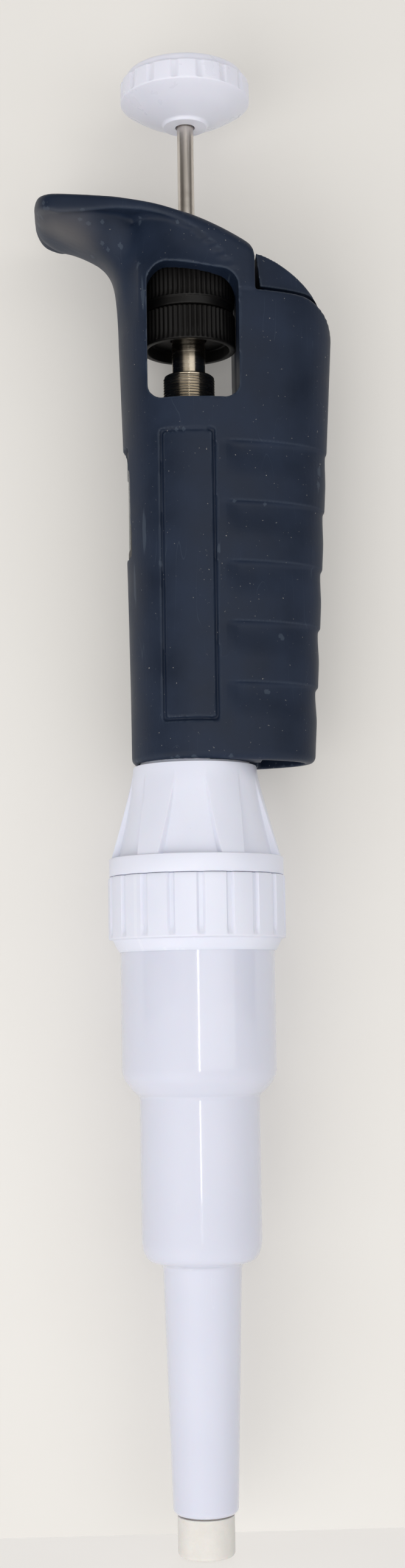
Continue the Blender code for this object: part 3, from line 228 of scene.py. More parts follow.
def carve(shape, steps, look=None):
    # Booleans in order; with a look, one even skin goes over the result, its edges rounded as a mould's are
    base = workObject("base", shape)
    helpers = []
    for operation, tool in steps:
        helper = workObject("helper", tool)
        helpers.append(helper)
        step = base.modifiers.new(operation, "BOOLEAN")
        step.operation, step.solver, step.object = operation, "EXACT", helper
    if look:
        remesh = base.modifiers.new("skin", "REMESH")
        remesh.mode, remesh.voxel_size = "VOXEL", look["voxel"]
        soften = base.modifiers.new("soften", "SMOOTH")
        soften.factor, soften.iterations = 0.5, look["smooth"]
        thin = base.modifiers.new("thin", "DECIMATE")
        thin.ratio = look["keep"]
    ready = base.evaluated_get(bpy.context.evaluated_depsgraph_get())
    mesh = bpy.data.meshes.new_from_object(ready)
    for item in helpers + [base]:
        bpy.data.objects.remove(item)
    return mesh


# Finishes

noiseSpan = (0.3, 0.7)  # where most values of a noise texture lie
plasticUsual = {  # what a plastic has where its own look says nothing else
    "cloudMm": 9.0, "edgeWearAndHighlight": 0.20, "edgeFrom": 0.52, "edgeFull": 0.60,
    "dustColour": "#b9b5ae", "speckMm": 0.5, "speckFrom": 0.80, "speckSoft": 0.03, "dust": 0.20,
    "dustRise": 0.035, "dustRough": 0.3,
    "scratchMm": 2.0, "scratch": 0.10, "hairTurn": (0.3, 0.9, 0.2), "hairStretch": (1.0, 1.0, 0.12),
    "hairWide": 0.004, "hairDeepMm": 0.02, "patchMm": 9.0, "patchFrom": 0.54, "patchFull": 0.64,
    "grainDeepMm": 0.006, "roughVary": 0.06, "ior": 1.53, "gloss": 0.5,
    "coat": 0.0, "coatRough": 0.1, "depth": 0.0, "depthMm": 1.0,
}


def plasticFinish(name, given):
    look = plasticUsual | given
    material, tree, shader, spot = newMaterial(name)
    surface = addNode(tree, "NewGeometry")
    cloud = addNode(tree, "TexNoise", {"Vector": spot, "Scale": perMm(look["cloudMm"]), "Detail": 4.0})
    colour = addNode(tree, "Mix", {0: cloud, 6: look["deep"], 7: look["pale"]}, data_type="RGBA")
    # edges and raised places are painted a little paler: partly rubbed wear, partly a painted highlight along
    # the rounded edges
    paleWearAndHighlight = look["paleWearAndHighlight"]
    edge = addNode(tree, "MapRange", {
        0: surface.outputs["Pointiness"], 1: look["edgeFrom"], 2: look["edgeFull"], 4: look["edgeWearAndHighlight"]})
    colour = addNode(tree, "Mix", {0: edge, 6: colour, 7: paleWearAndHighlight}, data_type="RGBA")
    upward = addNode(tree, "SeparateXYZ", {0: surface.outputs["Normal"]}).outputs[2]
    if "touch" in look:
        # where a forefinger lies under the hook, the downward faces are painted paler, greyer and a little
        # browner: partly finger wear, partly painted warm bounce light from below
        touch = look["touch"]
        centre = [value * mm for value in touch["centre"]]
        near = addNode(tree, "VectorMath", {0: spot, 1: centre}, operation="DISTANCE")
        near = addNode(tree, "MapRange", {
            0: near, 1: touch["full"] * mm, 2: touch["end"] * mm, 3: touch["share"], 4: 0.0,
        }, interpolation_type="SMOOTHSTEP")
        under = addNode(tree, "MapRange", {
            0: upward, 1: touch["downFrom"], 2: touch["downFull"]}, interpolation_type="SMOOTHSTEP")
        rubbed = addNode(tree, "Math", {0: near, 1: under}, operation="MULTIPLY")
        colour = addNode(tree, "Mix", {0: rubbed, 6: colour, 7: touch["colour"]}, data_type="RGBA")
    # specks of dust, more of them on what faces up
    speck = addNode(tree, "TexNoise", {"Vector": spot, "Scale": perMm(look["speckMm"])})
    lift = addNode(tree, "Math", {0: upward, 1: look["dustRise"], 2: 0.0}, operation="MULTIPLY_ADD")
    dusty = addNode(tree, "Math", {0: speck, 1: lift}, operation="ADD")
    dust = addNode(tree, "MapRange", {
        0: dusty, 1: look["speckFrom"], 2: look["speckFrom"] + look["speckSoft"], 4: look["dust"]})
    colour = addNode(tree, "Mix", {0: dust, 6: colour, 7: look["dustColour"]}, data_type="RGBA")
    # hairline scratches: a thin band out of a stretched noise, kept to a few patches
    stretch = addNode(tree, "Mapping", {
        "Vector": spot, "Rotation": look["hairTurn"], "Scale": look["hairStretch"]})
    lines = addNode(tree, "TexNoise", {"Vector": stretch, "Scale": perMm(look["scratchMm"]), "Detail": 1.0})
    away = addNode(tree, "Math", {0: lines, 1: 0.5}, operation="SUBTRACT")
    away = addNode(tree, "Math", {0: away}, operation="ABSOLUTE")
    hair = addNode(tree, "MapRange", {0: away, 2: look["hairWide"], 3: look["scratch"], 4: 0.0})
    patch = addNode(tree, "TexNoise", {"Vector": spot, "Scale": perMm(look["patchMm"]), "Detail": 1.0})
    patch = addNode(tree, "MapRange", {0: patch, 1: look["patchFrom"], 2: look["patchFull"]})
    hair = addNode(tree, "Math", {0: hair, 1: patch}, operation="MULTIPLY")
    colour = addNode(tree, "Mix", {0: hair, 6: colour, 7: paleWearAndHighlight}, data_type="RGBA")
    rough = addNode(tree, "MapRange", {
        0: cloud, 1: noiseSpan[0], 2: noiseSpan[1],
        3: look["rough"] - look["roughVary"], 4: look["rough"] + look["roughVary"]})
    rough = addNode(tree, "Math", {
        0: dust, 1: look["dustRough"], 2: rough}, operation="MULTIPLY_ADD", use_clamp=True)
    grain = addNode(tree, "TexNoise", {"Vector": spot, "Scale": perMm(look["grainMm"]), "Detail": 3.0})
    bump = addNode(tree, "Bump", {"Height": grain, "Distance": look["grainDeepMm"] * mm})
    scored = addNode(tree, "Bump", {
        "Height": hair, "Normal": bump, "Strength": 0.5, "Distance": look["hairDeepMm"] * mm}, invert=True)
    feed(tree, shader, {
        "Base Color": colour, "Roughness": rough, "Normal": scored, "IOR": look["ior"],
        "Specular IOR Level": look["gloss"], "Coat Weight": look["coat"], "Coat Roughness": look["coatRough"],
        "Subsurface Weight": look["depth"], "Subsurface Scale": look["depthMm"] * mm})
    return material


metalUsual = {
    "stainMm": 2.5, "stainFrom": 0.50, "stainFull": 0.72, "roughLess": 0.06, "roughMore": 0.08,
    "ringed": 0.0, "ringTurn": 0.25,  # rings from a tool spread a glint along the axis
}


def metalFinish(name, given):
    look = metalUsual | given
    material, tree, shader, spot = newMaterial(name)
    drawn = addNode(tree, "Mapping", {"Vector": spot, "Scale": look["stretch"]})
    streak = addNode(tree, "TexNoise", {"Vector": drawn, "Scale": perMm(look["streakMm"]), "Detail": 3.0})
    stain = addNode(tree, "TexNoise", {"Vector": spot, "Scale": perMm(look["stainMm"]), "Detail": 3.0})
    colour = addNode(tree, "Mix", {0: streak, 6: look["deep"], 7: look["pale"]}, data_type="RGBA")
    dulled = addNode(tree, "MapRange", {
        0: stain, 1: look["stainFrom"], 2: look["stainFull"], 4: look["stain"]})
    colour = addNode(tree, "Mix", {0: dulled, 6: colour, 7: look["dull"]}, data_type="RGBA")
    rough = addNode(tree, "MapRange", {
        0: streak, 1: noiseSpan[0], 2: noiseSpan[1],
        3: look["rough"] - look["roughLess"], 4: look["rough"] + look["roughMore"]})
    bump = addNode(tree, "Bump", {"Height": streak, "Distance": look["deepMm"] * mm})
    feed(tree, shader, {
        "Base Color": colour, "Roughness": rough, "Normal": bump, "Metallic": 1.0,
        "Anisotropic": look["ringed"], "Anisotropic Rotation": look["ringTurn"]})
    return material


# Glass-filled nylon, moulded in a spark-eroded mould: deep slate navy with a soft even sheen, dusty on top
slateNylon = plasticFinish("slateMouldedNylon", {
    "deep": "#0a1423", "pale": "#212d42", "paleWearAndHighlight": "#56616e",
    # its edges are painted paler: rubbed wear and a painted highlight
    "edgeWearAndHighlight": 0.27, "edgeFrom": 0.512, "edgeFull": 0.555,
    # under the hook the downward faces are painted paler and browner: finger wear and painted warm bounce light
    "touch": {"centre": (-22.3, -5.5, 231.5), "full": 1.0, "end": 8.5, "share": 0.68, "colour": "#5f5c5c",
              "downFrom": 0.1, "downFull": -0.6},
    "speckMm": 0.45, "speckFrom": 0.735, "dust": 0.42, "scratchMm": 3.2, "scratch": 0.16,
    "grainMm": 0.30,  # spark texture is about 0.1 mm, drawn three times as coarse so that it shows
    "grainDeepMm": 0.012, "rough": 0.48, "roughVary": 0.08, "gloss": 0.22,
})
# Polypropylene copolymer, moulded against a polished core: clean white with a cool cast and a clear gloss
whiteBarrelPlastic = plasticFinish("whiteMouldedPolypropylene", {
    "deep": "#d0d2e0", "pale": "#d7d8e5", "cloudMm": 14.0, "paleWearAndHighlight": "#e9eaf2", "edgeWearAndHighlight": 0.25,
    "scratchMm": 4.0, "grainMm": 2.4, "grainDeepMm": 0.008, "rough": 0.15, "roughVary": 0.03,
    "ior": 1.49, "depth": 0.08, "coat": 0.5, "coatRough": 0.04,
})
# The same plastic from a finely blasted mould, as on ribs that are gripped: a little duller
whiteGripPlastic = plasticFinish("whiteSatinPolypropylene", {
    "deep": "#dcdeeb", "pale": "#e4e5f0", "paleWearAndHighlight": "#ecedf4", "edgeWearAndHighlight": 0.30, "speckFrom": 0.78, "dust": 0.25,
    "scratchMm": 3.0, "scratch": 0.12, "grainMm": 0.5, "rough": 0.34, "ior": 1.49, "depth": 0.08,
})
# ABS, moulded and polished by thumbs: bright white that is smooth on its dome
whiteButtonAbs = plasticFinish("whiteMouldedAbs", {
    "deep": "#e0e0ec", "pale": "#e8e8f1", "cloudMm": 8.0, "paleWearAndHighlight": "#efeff5", "speckMm": 0.6, "scratchMm": 3.0,
    "grainMm": 0.8, "rough": 0.30, "depth": 0.06,
})
# Acetal, moulded: near-black and slightly greasy in its gloss, with paler tops on the knurl: worn, and painted
# as a highlight
blackAcetal = plasticFinish("blackMouldedAcetal", {
    "deep": "#0b0a0a", "pale": "#131211", "cloudMm": 4.0, "paleWearAndHighlight": "#3a3733", "edgeWearAndHighlight": 0.25,
    "speckMm": 0.35, "speckFrom": 0.76, "dust": 0.25, "scratch": 0.2,
    "grainMm": 0.25, "rough": 0.42, "roughVary": 0.08, "ior": 1.48, "gloss": 0.24,
})
# Natural nylon, turned from bar: milky cream, slightly waxy
naturalNylon = plasticFinish("creamTurnedNylon", {
    "deep": "#cfc9b8", "pale": "#dbd6c8", "cloudMm": 5.0, "paleWearAndHighlight": "#e6e2d6", "scratch": 0.15,
    "grainMm": 0.3, "rough": 0.42, "roughVary": 0.05, "depth": 0.1,
})
# Nitrile rubber, moulded: dull black with a faint bloom
blackNitrile = plasticFinish("blackMouldedNitrile", {
    "deep": "#131313", "pale": "#1c1c1b", "cloudMm": 3.0, "paleWearAndHighlight": "#3a3937", "speckMm": 0.4, "speckFrom": 0.72,
    "dust": 0.3, "grainMm": 0.2, "grainDeepMm": 0.01, "rough": 0.70, "ior": 1.52,
})
# Sintered polyethylene, beads pressed together: chalky cream without gloss, pitted all over
sinteredFilter = plasticFinish("creamSinteredPolyethylene", {
    "deep": "#d6d2cb", "pale": "#e5e1db", "cloudMm": 2.2, "paleWearAndHighlight": "#f0ece7", "edgeWearAndHighlight": 0.3,
    "speckMm": 0.4, "speckFrom": 0.82, "dust": 0.1, "scratch": 0.0,
    "grainMm": 0.28,  # beads of about 0.1 mm, drawn coarser so that they show
    "grainDeepMm": 0.05, "rough": 0.85, "roughVary": 0.05, "ior": 1.50, "depth": 0.15,
})
# Ink, pad-printed on the number wheels: flat black with soft broken edges
padInk = plasticFinish("blackPadInk", {
    "deep": "#111114", "pale": "#1b1b20", "cloudMm": 1.0, "paleWearAndHighlight": "#55555a", "speckMm": 0.3, "speckFrom": 0.7,
    "dust": 0.3, "scratchMm": 1.0, "scratch": 0.0,
    "grainMm": 0.1, "grainDeepMm": 0.003, "rough": 0.55, "roughVary": 0.05, "ior": 1.5,
})
# Stainless steel bar, ground lengthwise: grey with fine bright and dark lines along it
groundSteel = metalFinish("groundStainlessSteel", {
    "deep": "#b9b1a9", "pale": "#e6e1db", "streakMm": 0.35, "stretch": (1.0, 1.0, 0.02),
    "stain": 0.25, "dull": "#8d847a", "rough": 0.32, "deepMm": 0.002,
})
# Nickel silver, turned and threaded: warmer than steel, with rings from the tool
turnedNickel = metalFinish("turnedNickelSilver", {
    "deep": "#b3a690", "pale": "#e3d9c8", "streakMm": 0.30, "stretch": (0.03, 0.03, 1.0),
    "stain": 0.30, "dull": "#8d8170", "rough": 0.22, "deepMm": 0.0004, "ringed": 0.8,
})
# Brass, turned: yellow, dulled by handling
turnedBrass = metalFinish("turnedBrass", {
    "deep": "#9a7c3c", "pale": "#d4b467", "streakMm": 0.30, "stretch": (0.05, 0.05, 1.0),
    "stain": 0.4, "dull": "#7c6838", "rough": 0.28, "deepMm": 0.004,
})
# Spring steel wire, drawn: bright grey with fine lines
springSteel = metalFinish("drawnSpringSteel", {
    "deep": "#7c7c7c", "pale": "#c4c3c1", "streakMm": 0.25, "stretch": (1.0, 1.0, 1.0),
    "stain": 0.25, "dull": "#6a6864", "rough": 0.30, "deepMm": 0.003,
})
# Polycarbonate, moulded with a light smoke tint: a pane over the number wheels, with a few fine rubs
paneLook = {
    "deep": "#a9aeb0", "pale": "#bcc0c2", "rubMm": 1.5, "rubFrom": 0.45, "rubFull": 0.70,
    "rough": 0.03, "rubbed": 0.16, "deepMm": 0.004,
    "ior": 1.10,  # thin pane, kept low so that the digits read through it
}


def paneFinish(name, look):
    material, tree, shader, spot = newMaterial(name)
    rub = addNode(tree, "TexNoise", {"Vector": spot, "Scale": perMm(look["rubMm"]), "Detail": 4.0})
    rough = addNode(tree, "MapRange", {
        0: rub, 1: look["rubFrom"], 2: look["rubFull"], 3: look["rough"], 4: look["rubbed"]})
    colour = addNode(tree, "Mix", {0: rub, 6: look["deep"], 7: look["pale"]}, data_type="RGBA")
    bump = addNode(tree, "Bump", {"Height": rub, "Strength": 0.4, "Distance": look["deepMm"] * mm})
    feed(tree, shader, {"Base Color": colour, "Roughness": rough, "Normal": bump,
                        "Transmission Weight": 1.0, "IOR": look["ior"]})
    return material


clearPolycarbonate = paneFinish("clearMouldedPolycarbonate", paneLook)
print("finishes made")


# Handle and ejector button

handleSize = {
    "foot": 136.0, "bodyHeight": 83.5, "headHeight": 101.4,
    "frontLow": 11.15, "frontRise": 1.75, "backLow": 21.5, "backRise": 4.4, "backPower": 1.7,
    "footRound": 1.2, "shoulderRound": 6.5, "shoulderEdge": 0.3, "shoulderSide": 4.0,
    "blockBack": 11.5, "headArc": 70.0, "crest": -24.0, "headEdge": 2.2, "wall": 1.9,
    "gripBands": 5, "gripFirst": 6.9, "gripPitch": 10.65, "gripHeight": 6.7, "gripDepth": 0.85,
    "gripStart": 4.6, "gripFull": 8.6, "gripFade": 17.5, "gripEnd": 25.5, "gripLeft": 0.3,
    "gripBrow": 0.6, "gripEdge": 0.5, "frontPoints": 44, "backPoints": 26, "levelStep": 0.6,
    "browDepth": 0.9, "browSoft": 0.7, "browFade": (6.0, 12.5), "browSide": (3.5, 10.0),
    "voxel": 0.25, "smooth": 2, "keep": 0.25,
}
browLine = (  # x, and how far the brim's lower crease lies below the top there
    (-27.6, 4.1), (-22.0, 3.9), (-17.8, 3.4), (-13.0, 2.6), (-8.3, 2.1), (-4.5, 2.1), (0.0, 2.5), (3.0, 3.5),
    (6.0, 5.3), (9.0, 7.5), (14.0, 9.0),
)
hookSize = {
    "tip": -27.6, "halfWidth": 11.0, "rootWidth": 12.8, "widen": (6.0, 24.0), "narrow": (9.0, 20.0),
    "planRound": 4.6, "planPower": 3.0, "keelRound": 6.2, "keelPower": 2.0, "tipRound": 1.1, "underRound": 2.2,
    "underTip": 3.6, "underSlope": 0.36, "fillet": 9.6, "reach": 14.9,
}
valleySize = {
    "x": -12.5, "z": 224.5, "halfX": 8.0, "halfZ": 12.0, "rounds": 60, "shares": (1.0, 0.88, 0.76, 0.64),
    "windowSide": -9.2, "windowTop": 226.0, "belowBrow": 1.0,
}
openingSize = {
    "windowFoot": 199.8, "windowLeft": -7.7, "windowRight": 8.5, "windowHeight": 24.5, "windowSlope": 1.2,
    "windowArch": 3.4, "windowCorner": 2.8, "bayTop": 226.6, "bayRadius": 8.9,
    "deckFoot": 192.6, "boreRadius": 10.0, "nutBore": 6.5, "bushTop": 231.2, "bushRadius": 3.0, "rodHole": 1.8,
    "rearFront": 11.6, "rearHeight": 30.0, "slotHalf": 3.2, "slotBack": 12.9, "slotTop": 192.45,
    "displayHalf": 4.0, "displayFoot": 172.8, "displayHeight": 20.1, "displayRound": 1.2,
    "ejectorX": 17.0, "ejectorBore": 1.55, "springBore": 3.3, "springFoot": 193.9,
}
panelSize = {
    "left": -5.8, "right": 4.0, "low": 6.6, "high": 58.2, "groove": 0.65, "depth": 0.55, "corner": 0.7,
}
wedgeSize = {
    "front": 11.8, "back": 24.0, "inset": 1.4, "skirt": 3.4, "lift": 0.9, "lean": 0.7, "rise": 6.9,
    "tipDrop": 1.5, "under": 3.0, "neck": 1.3, "power": 1.4, "gap": 0.3, "travel": 6.0,
    "stemRadius": 2.4, "stemLength": 8.0, "socketRadius": 1.55, "voxel": 0.22, "smooth": 3, "keep": 0.5,
}
handleFoot = handleSize["foot"]
handleShoulder = handleFoot + handleSize["bodyHeight"]
headTop = handleFoot + handleSize["headHeight"]


def frontRadius(rise):
    share = min(rise / handleSize["bodyHeight"], 1.0)
    return handleSize["frontLow"] + handleSize["frontRise"] * max(share, 0.0) ** handleSize["backPower"]


def backReach(rise):
    share = min(rise / (handleSize["bodyHeight"] - handleSize["shoulderRound"]), 1.0)
    return handleSize["backLow"] + handleSize["backRise"] * share


def headHeight(x):
    run = max(x - handleSize["crest"], 0.0)
    return headTop - handleSize["headArc"] + math.sqrt(handleSize["headArc"] ** 2 - run ** 2)


def handlePlan(radius, reach, inset=0.0, grip=0.0, clip=math.inf):
    # an outline at one height, drawn in by inset and by the grip's depth; clip cuts its back off
    points = []
    frontSteps, backSteps = handleSize["frontPoints"], handleSize["backPoints"]
    for k in range(frontSteps + 1):
        angle = math.pi / 2 + math.pi * k / frontSteps
        points.append((radius * math.cos(angle), radius * math.sin(angle)))
    for k in range(1, 2 * backSteps):
        angle = -math.pi / 2 + math.pi * k / (2 * backSteps)
        x = reach * math.cos(angle) ** (2 / handleSize["backPower"])
        points.append((min(x, clip), radius * math.sin(angle)))
    ring = []
    for x, y in points:
        fade = 1 - (1 - handleSize["gripLeft"]) * ease(x, handleSize["gripFade"], handleSize["gripEnd"])
        drop = inset + grip * fade * ease(x, handleSize["gripStart"], handleSize["gripFull"])
        share = 1 - drop / math.hypot(x, y)
        ring.append((x * share, y * share))
    return ring


def browDrop(x):
    for (left, first), (right, last) in zip(browLine, browLine[1:]):
        if x <= right:
            return first + (last - first) * max(x - left, 0.0) / (right - left)
    return browLine[-1][1]


def gripDepth(rise):
    # each band starts softly at its foot and ends in a crisp upper edge
    for k in range(handleSize["gripBands"]):
        low = handleSize["gripFirst"] + k * handleSize["gripPitch"]
        high = low + handleSize["gripHeight"]
        if low < rise < high:
            start = ease(rise, low, high - handleSize["gripBrow"])
            return handleSize["gripDepth"] * start * (1 - ease(rise, high - handleSize["gripEdge"], high))
    return 0.0


def handleRings(inset=0.0):
    size = handleSize
    base = size["bodyHeight"] - size["shoulderRound"]
    rings = []
    for k in range(5, -1, -1):  # the foot's rounded edge
        turn = math.radians(18 * k)
        rise = size["footRound"] * (1 - math.sin(turn))
        drop = size["footRound"] * (1 - math.cos(turn))
        plan = handlePlan(frontRadius(rise), backReach(rise), drop + inset)
        rings.append([(x, y, handleFoot + rise) for x, y in plan])
    start, step = size["footRound"], size["levelStep"]
    levels = [start + step * k for k in range(1, int((base - start) / step))]
    for k in range(size["gripBands"]):
        high = size["gripFirst"] + k * size["gripPitch"] + size["gripHeight"]
        levels += [high, high - 0.12, high - 0.35]  # closer rings keep a band's upper edge crisp
    for rise in sorted(levels):
        plan = handlePlan(frontRadius(rise), backReach(rise), inset, gripDepth(rise))
        rings.append([(x, y, handleFoot + rise) for x, y in plan])
    for k in range(13):  # the rounded rear shoulder
        turn = math.pi / 2 * k / 12
        rise = base + size["shoulderRound"] * math.sin(turn)
        limit = backReach(base) - inset - size["shoulderRound"] * (1 - math.cos(turn))
        edge = size["shoulderEdge"] * (1 - math.cos(turn))
        ring = []
        for x, y in handlePlan(frontRadius(rise), backReach(base), inset, 0.0, limit):
            share = 1 - ease(x, 0.0, size["blockBack"]) * edge / max(abs(y), size["shoulderSide"])
            ring.append((x, y * share, handleFoot + rise))
        rings.append(ring)
    radius, reach = frontRadius(size["bodyHeight"]), backReach(size["bodyHeight"])
    block = handlePlan(radius, reach, inset, 0.0, size["blockBack"])
    rows = 24
    for k in range(rows):
        # the head's face is slightly hollow below its brim
        ring = []
        for x, y in block:
            z = handleShoulder + (headHeight(x) - size["headEdge"] - handleShoulder) * k / rows
            below = headHeight(x) - z
            hollow = ease(below, browDrop(x), browDrop(x) + size["browSoft"])
            hollow = hollow * (1 - ease(below, *size["browFade"])) * (1 - ease(x, *size["browSide"]))
            share = 1 - size["browDepth"] * hollow / math.hypot(x, y)
            ring.append((x * share, y * share, z))
        rings.append(ring)
    for k in range(7):  # the head's rounded top edge
        turn = math.pi / 2 * k / 6
        drop = inset + size["headEdge"] * (1 - math.cos(turn))
        fall = size["headEdge"] * (1 - math.sin(turn))
        plan = handlePlan(radius, reach, drop, 0.0, size["blockBack"])
        rings.append([(x, y, headHeight(x) - fall) for x, y in plan])
    for share in (0.85, 0.7, 0.55, 0.4, 0.25, 0.1):
        rings.append([(x * share, y * share, headHeight(x * share)) for x, y in plan])
    return rings


def cornerDrop(run, radius):
    return radius - math.sqrt(max(radius ** 2 - max(radius - run, 0.0) ** 2, 0.0))


def softLoop(points):
    # every corner of a closed line is cut once
    soft = []
    for here, after in zip(points, points[1:] + points[:1]):
        soft.append(tuple(Vector(here) * 0.75 + Vector(after) * 0.25))
        soft.append(tuple(Vector(here) * 0.25 + Vector(after) * 0.75))
    return soft


def tipShare(run, bend, power):
    # how far the hook has come to its full width at this distance from its tip
    return (1 - (max(bend - run, 0.0) / (bend + 0.1)) ** power) ** (1 / power)


def hookRings():
    size = hookSize
    inside = size["reach"] + 4.0
    runs = [0.0, 0.05, 0.15, 0.3, 0.5, 0.8, 1.1, 1.5, 2.0, 2.6] + [3.2 + 0.5 * k for k in range(48)]
    rings = []
    for run in runs:
        x = size["tip"] + run
        widen = (size["rootWidth"] - size["halfWidth"]) * ease(run, *size["widen"])
        wide = size["halfWidth"] * tipShare(run, size["planRound"], size["planPower"]) + widen
        keel = size["halfWidth"] * tipShare(run, size["keelRound"], size["keelPower"]) + widen
        sunk = ease(run, size["reach"] - 2, inside)
        top = headHeight(x) - cornerDrop(run, size["tipRound"]) - 0.15 * sunk
        share = min(run / size["reach"], 1.0)
        fillet = size["fillet"] * (1 - (1 - share ** 3) ** (1 / 3))
        under = size["underTip"] + size["underSlope"] * run + fillet
        low = min(headTop - under + cornerDrop(run, size["underRound"]), top - 0.8)
        rim = max(top - browDrop(x), low + 0.25 * (top - low))
        edge = min(1.0, (top - rim) / 3.0)
        brim, deep = top - rim, rim - low
        grip = keel * (1 - 0.4 * ease(run, *size["narrow"]))  # below the brim it narrows into the head
        # the brim overhangs by half a millimetre, and the grip under it narrows to a rounded keel
        half = [
            (0.0, top), (0.50 * wide, top - 0.05), (0.88 * wide, top - 0.2), (0.96 * wide, top - 0.45 * edge),
            (0.99 * wide, top - 0.9 * edge), (wide, top - 0.5 * brim), (wide, rim + 0.20 * brim),
            (0.985 * wide, rim + 0.04 * brim), (0.955 * wide, rim), (0.90 * grip, rim + 0.02 * deep),
            (0.865 * grip, rim - 0.06 * deep), (0.83 * grip, rim - 0.24 * deep),
            (0.74 * grip, rim - 0.50 * deep), (0.56 * grip, rim - 0.78 * deep),
            (0.32 * grip, rim - 0.95 * deep), (0.0, low - 0.1),
        ]
        ring = [(x, y, z) for y, z in half] + [(x, -y, z) for y, z in half[-2:0:-1]]
        rings.append(softLoop(ring))
    return rings


def windowOutline():
    size = openingSize
    left, right, low = size["windowLeft"], size["windowRight"], size["windowFoot"]
    high, arch, foot = low + size["windowHeight"], size["windowArch"], size["windowCorner"]
    return (
        arc(right - foot, low + foot, foot, -90, 0, 8)
        + arc(right - arch, high - size["windowSlope"] - arch, arch, 0, 75, 10)
        + arc(left + arch, high - arch, arch, 90, 180, 12)
        + arc(left + foot, low + foot, foot, 180, 270, 8)
    )


def backOutline(radius, reach, front):
    widest = math.acos((front / reach) ** (handleSize["backPower"] / 2))
    angles = [widest * (k / handleSize["backPoints"] - 1) for k in range(2 * handleSize["backPoints"] + 1)]
    return [(reach * math.cos(a) ** (2 / handleSize["backPower"]), radius * math.sin(a)) for a in angles]


def wedgePlan(gap):
    radius = frontRadius(handleSize["bodyHeight"]) - wedgeSize["inset"] + gap
    return backOutline(radius, wedgeSize["back"] + gap, wedgeSize["front"] - gap)


def easeValley(mesh):
    # under the hook the grip flows into the head in one wide hollow, without a line between them
    size = valleySize
    shape = bmesh.new()
    shape.from_mesh(mesh)
    reach = {}
    for vert in shape.verts:
        x, y, z = vert.co
        nearWindow = x > size["windowSide"] and z < size["windowTop"]
        if z < headHeight(x) - browDrop(x) - size["belowBrow"] and not nearWindow:
            reach[vert] = math.hypot((x - size["x"]) / size["halfX"], (z - size["z"]) / size["halfZ"])
    for limit in size["shares"]:
        chosen = [vert for vert, share in reach.items() if share < limit]
        for _ in range(size["rounds"]):
            bmesh.ops.smooth_vert(
                shape, verts=chosen, factor=0.5, use_axis_x=True, use_axis_y=True, use_axis_z=True)
    shape.to_mesh(mesh)
    shape.free()


def makeHandle():
    size = openingSize
    deep = frontRadius(handleSize["bodyHeight"]) + 2.0
    bore = roundBody([
        (0.0, headTop + 2), (size["rodHole"], headTop + 2), (size["rodHole"], size["bushTop"]),
        (size["bushRadius"], size["bushTop"]), (size["bushRadius"], size["bayTop"]),
        (size["bayRadius"], size["bayTop"]), (size["bayRadius"], size["windowFoot"]),
        (size["nutBore"], size["windowFoot"]), (size["nutBore"], size["deckFoot"]),
        (size["boreRadius"], size["deckFoot"]), (size["boreRadius"], handleFoot - 2), (0.0, handleFoot - 2),
    ], 72)
    hollow = []
    for rise in (-2.0, size["rearHeight"]):
        radius = frontRadius(max(rise, 0.0)) - handleSize["wall"]
        plan = backOutline(radius, backReach(rise) - handleSize["wall"], size["rearFront"])
        hollow.append([(x, y, handleFoot + rise) for x, y in plan])
    slot = roundedBox(5.0, size["slotBack"], -size["slotHalf"], size["slotHalf"], 0.4, 3)
    display = roundedBox(-size["displayHalf"], size["displayHalf"], size["displayFoot"],
                         size["displayFoot"] + size["displayHeight"], size["displayRound"])
    wedgeFoot = handleShoulder - wedgeSize["skirt"]
    pocketFloor = wedgeFoot - wedgeSize["travel"] - wedgeSize["gap"]
    springTop, shaftFoot = pocketFloor + 2, handleFoot + size["rearHeight"] - 2
    shaft = roundBody([
        (0.0, springTop), (size["springBore"], springTop), (size["springBore"], size["springFoot"]),
        (size["ejectorBore"], size["springFoot"]), (size["ejectorBore"], shaftFoot), (0.0, shaftFoot),
    ], 32)
    bmesh.ops.translate(shaft, verts=shaft.verts, vec=(size["ejectorX"], 0, 0))
    panel = panelSize
    left, right, wide = panel["left"], panel["right"], panel["groove"]
    low, high = handleFoot + panel["low"], handleFoot + panel["high"]
    outer = roundedBox(left, right, low, high, panel["corner"])
    inner = roundedBox(left + wide, right - wide, low + wide, high - wide, panel["corner"] / 2)
    groove = bmesh.new()
    groove.from_mesh(carve(prism(outer, -deep, -handleSize["frontLow"] * 0.6, "Y"), [
        ("DIFFERENCE", prism(inner, -deep - 2, -handleSize["frontLow"] * 0.5, "Y")),
        ("DIFFERENCE", skin(handleRings(panel["depth"]))),
    ]))
    mesh = carve(skin(handleRings()), [
        ("UNION", skin(hookRings())),
        ("DIFFERENCE", bore),
        ("DIFFERENCE", prism(windowOutline(), -deep, deep, "Y")),
        ("DIFFERENCE", skin(hollow)),
        ("DIFFERENCE", prism(slot, handleFoot - 2, size["slotTop"])),
        ("DIFFERENCE", prism(display, -deep, 0.0, "X")),
        ("DIFFERENCE", prism(wedgePlan(wedgeSize["gap"]), pocketFloor, handleShoulder + 2)),
        ("DIFFERENCE", shaft),
        ("DIFFERENCE", groove),
    ], handleSize)
    easeValley(mesh)
    place("handleShell", mesh, slateNylon, "handle", ("handle_body",), 60)


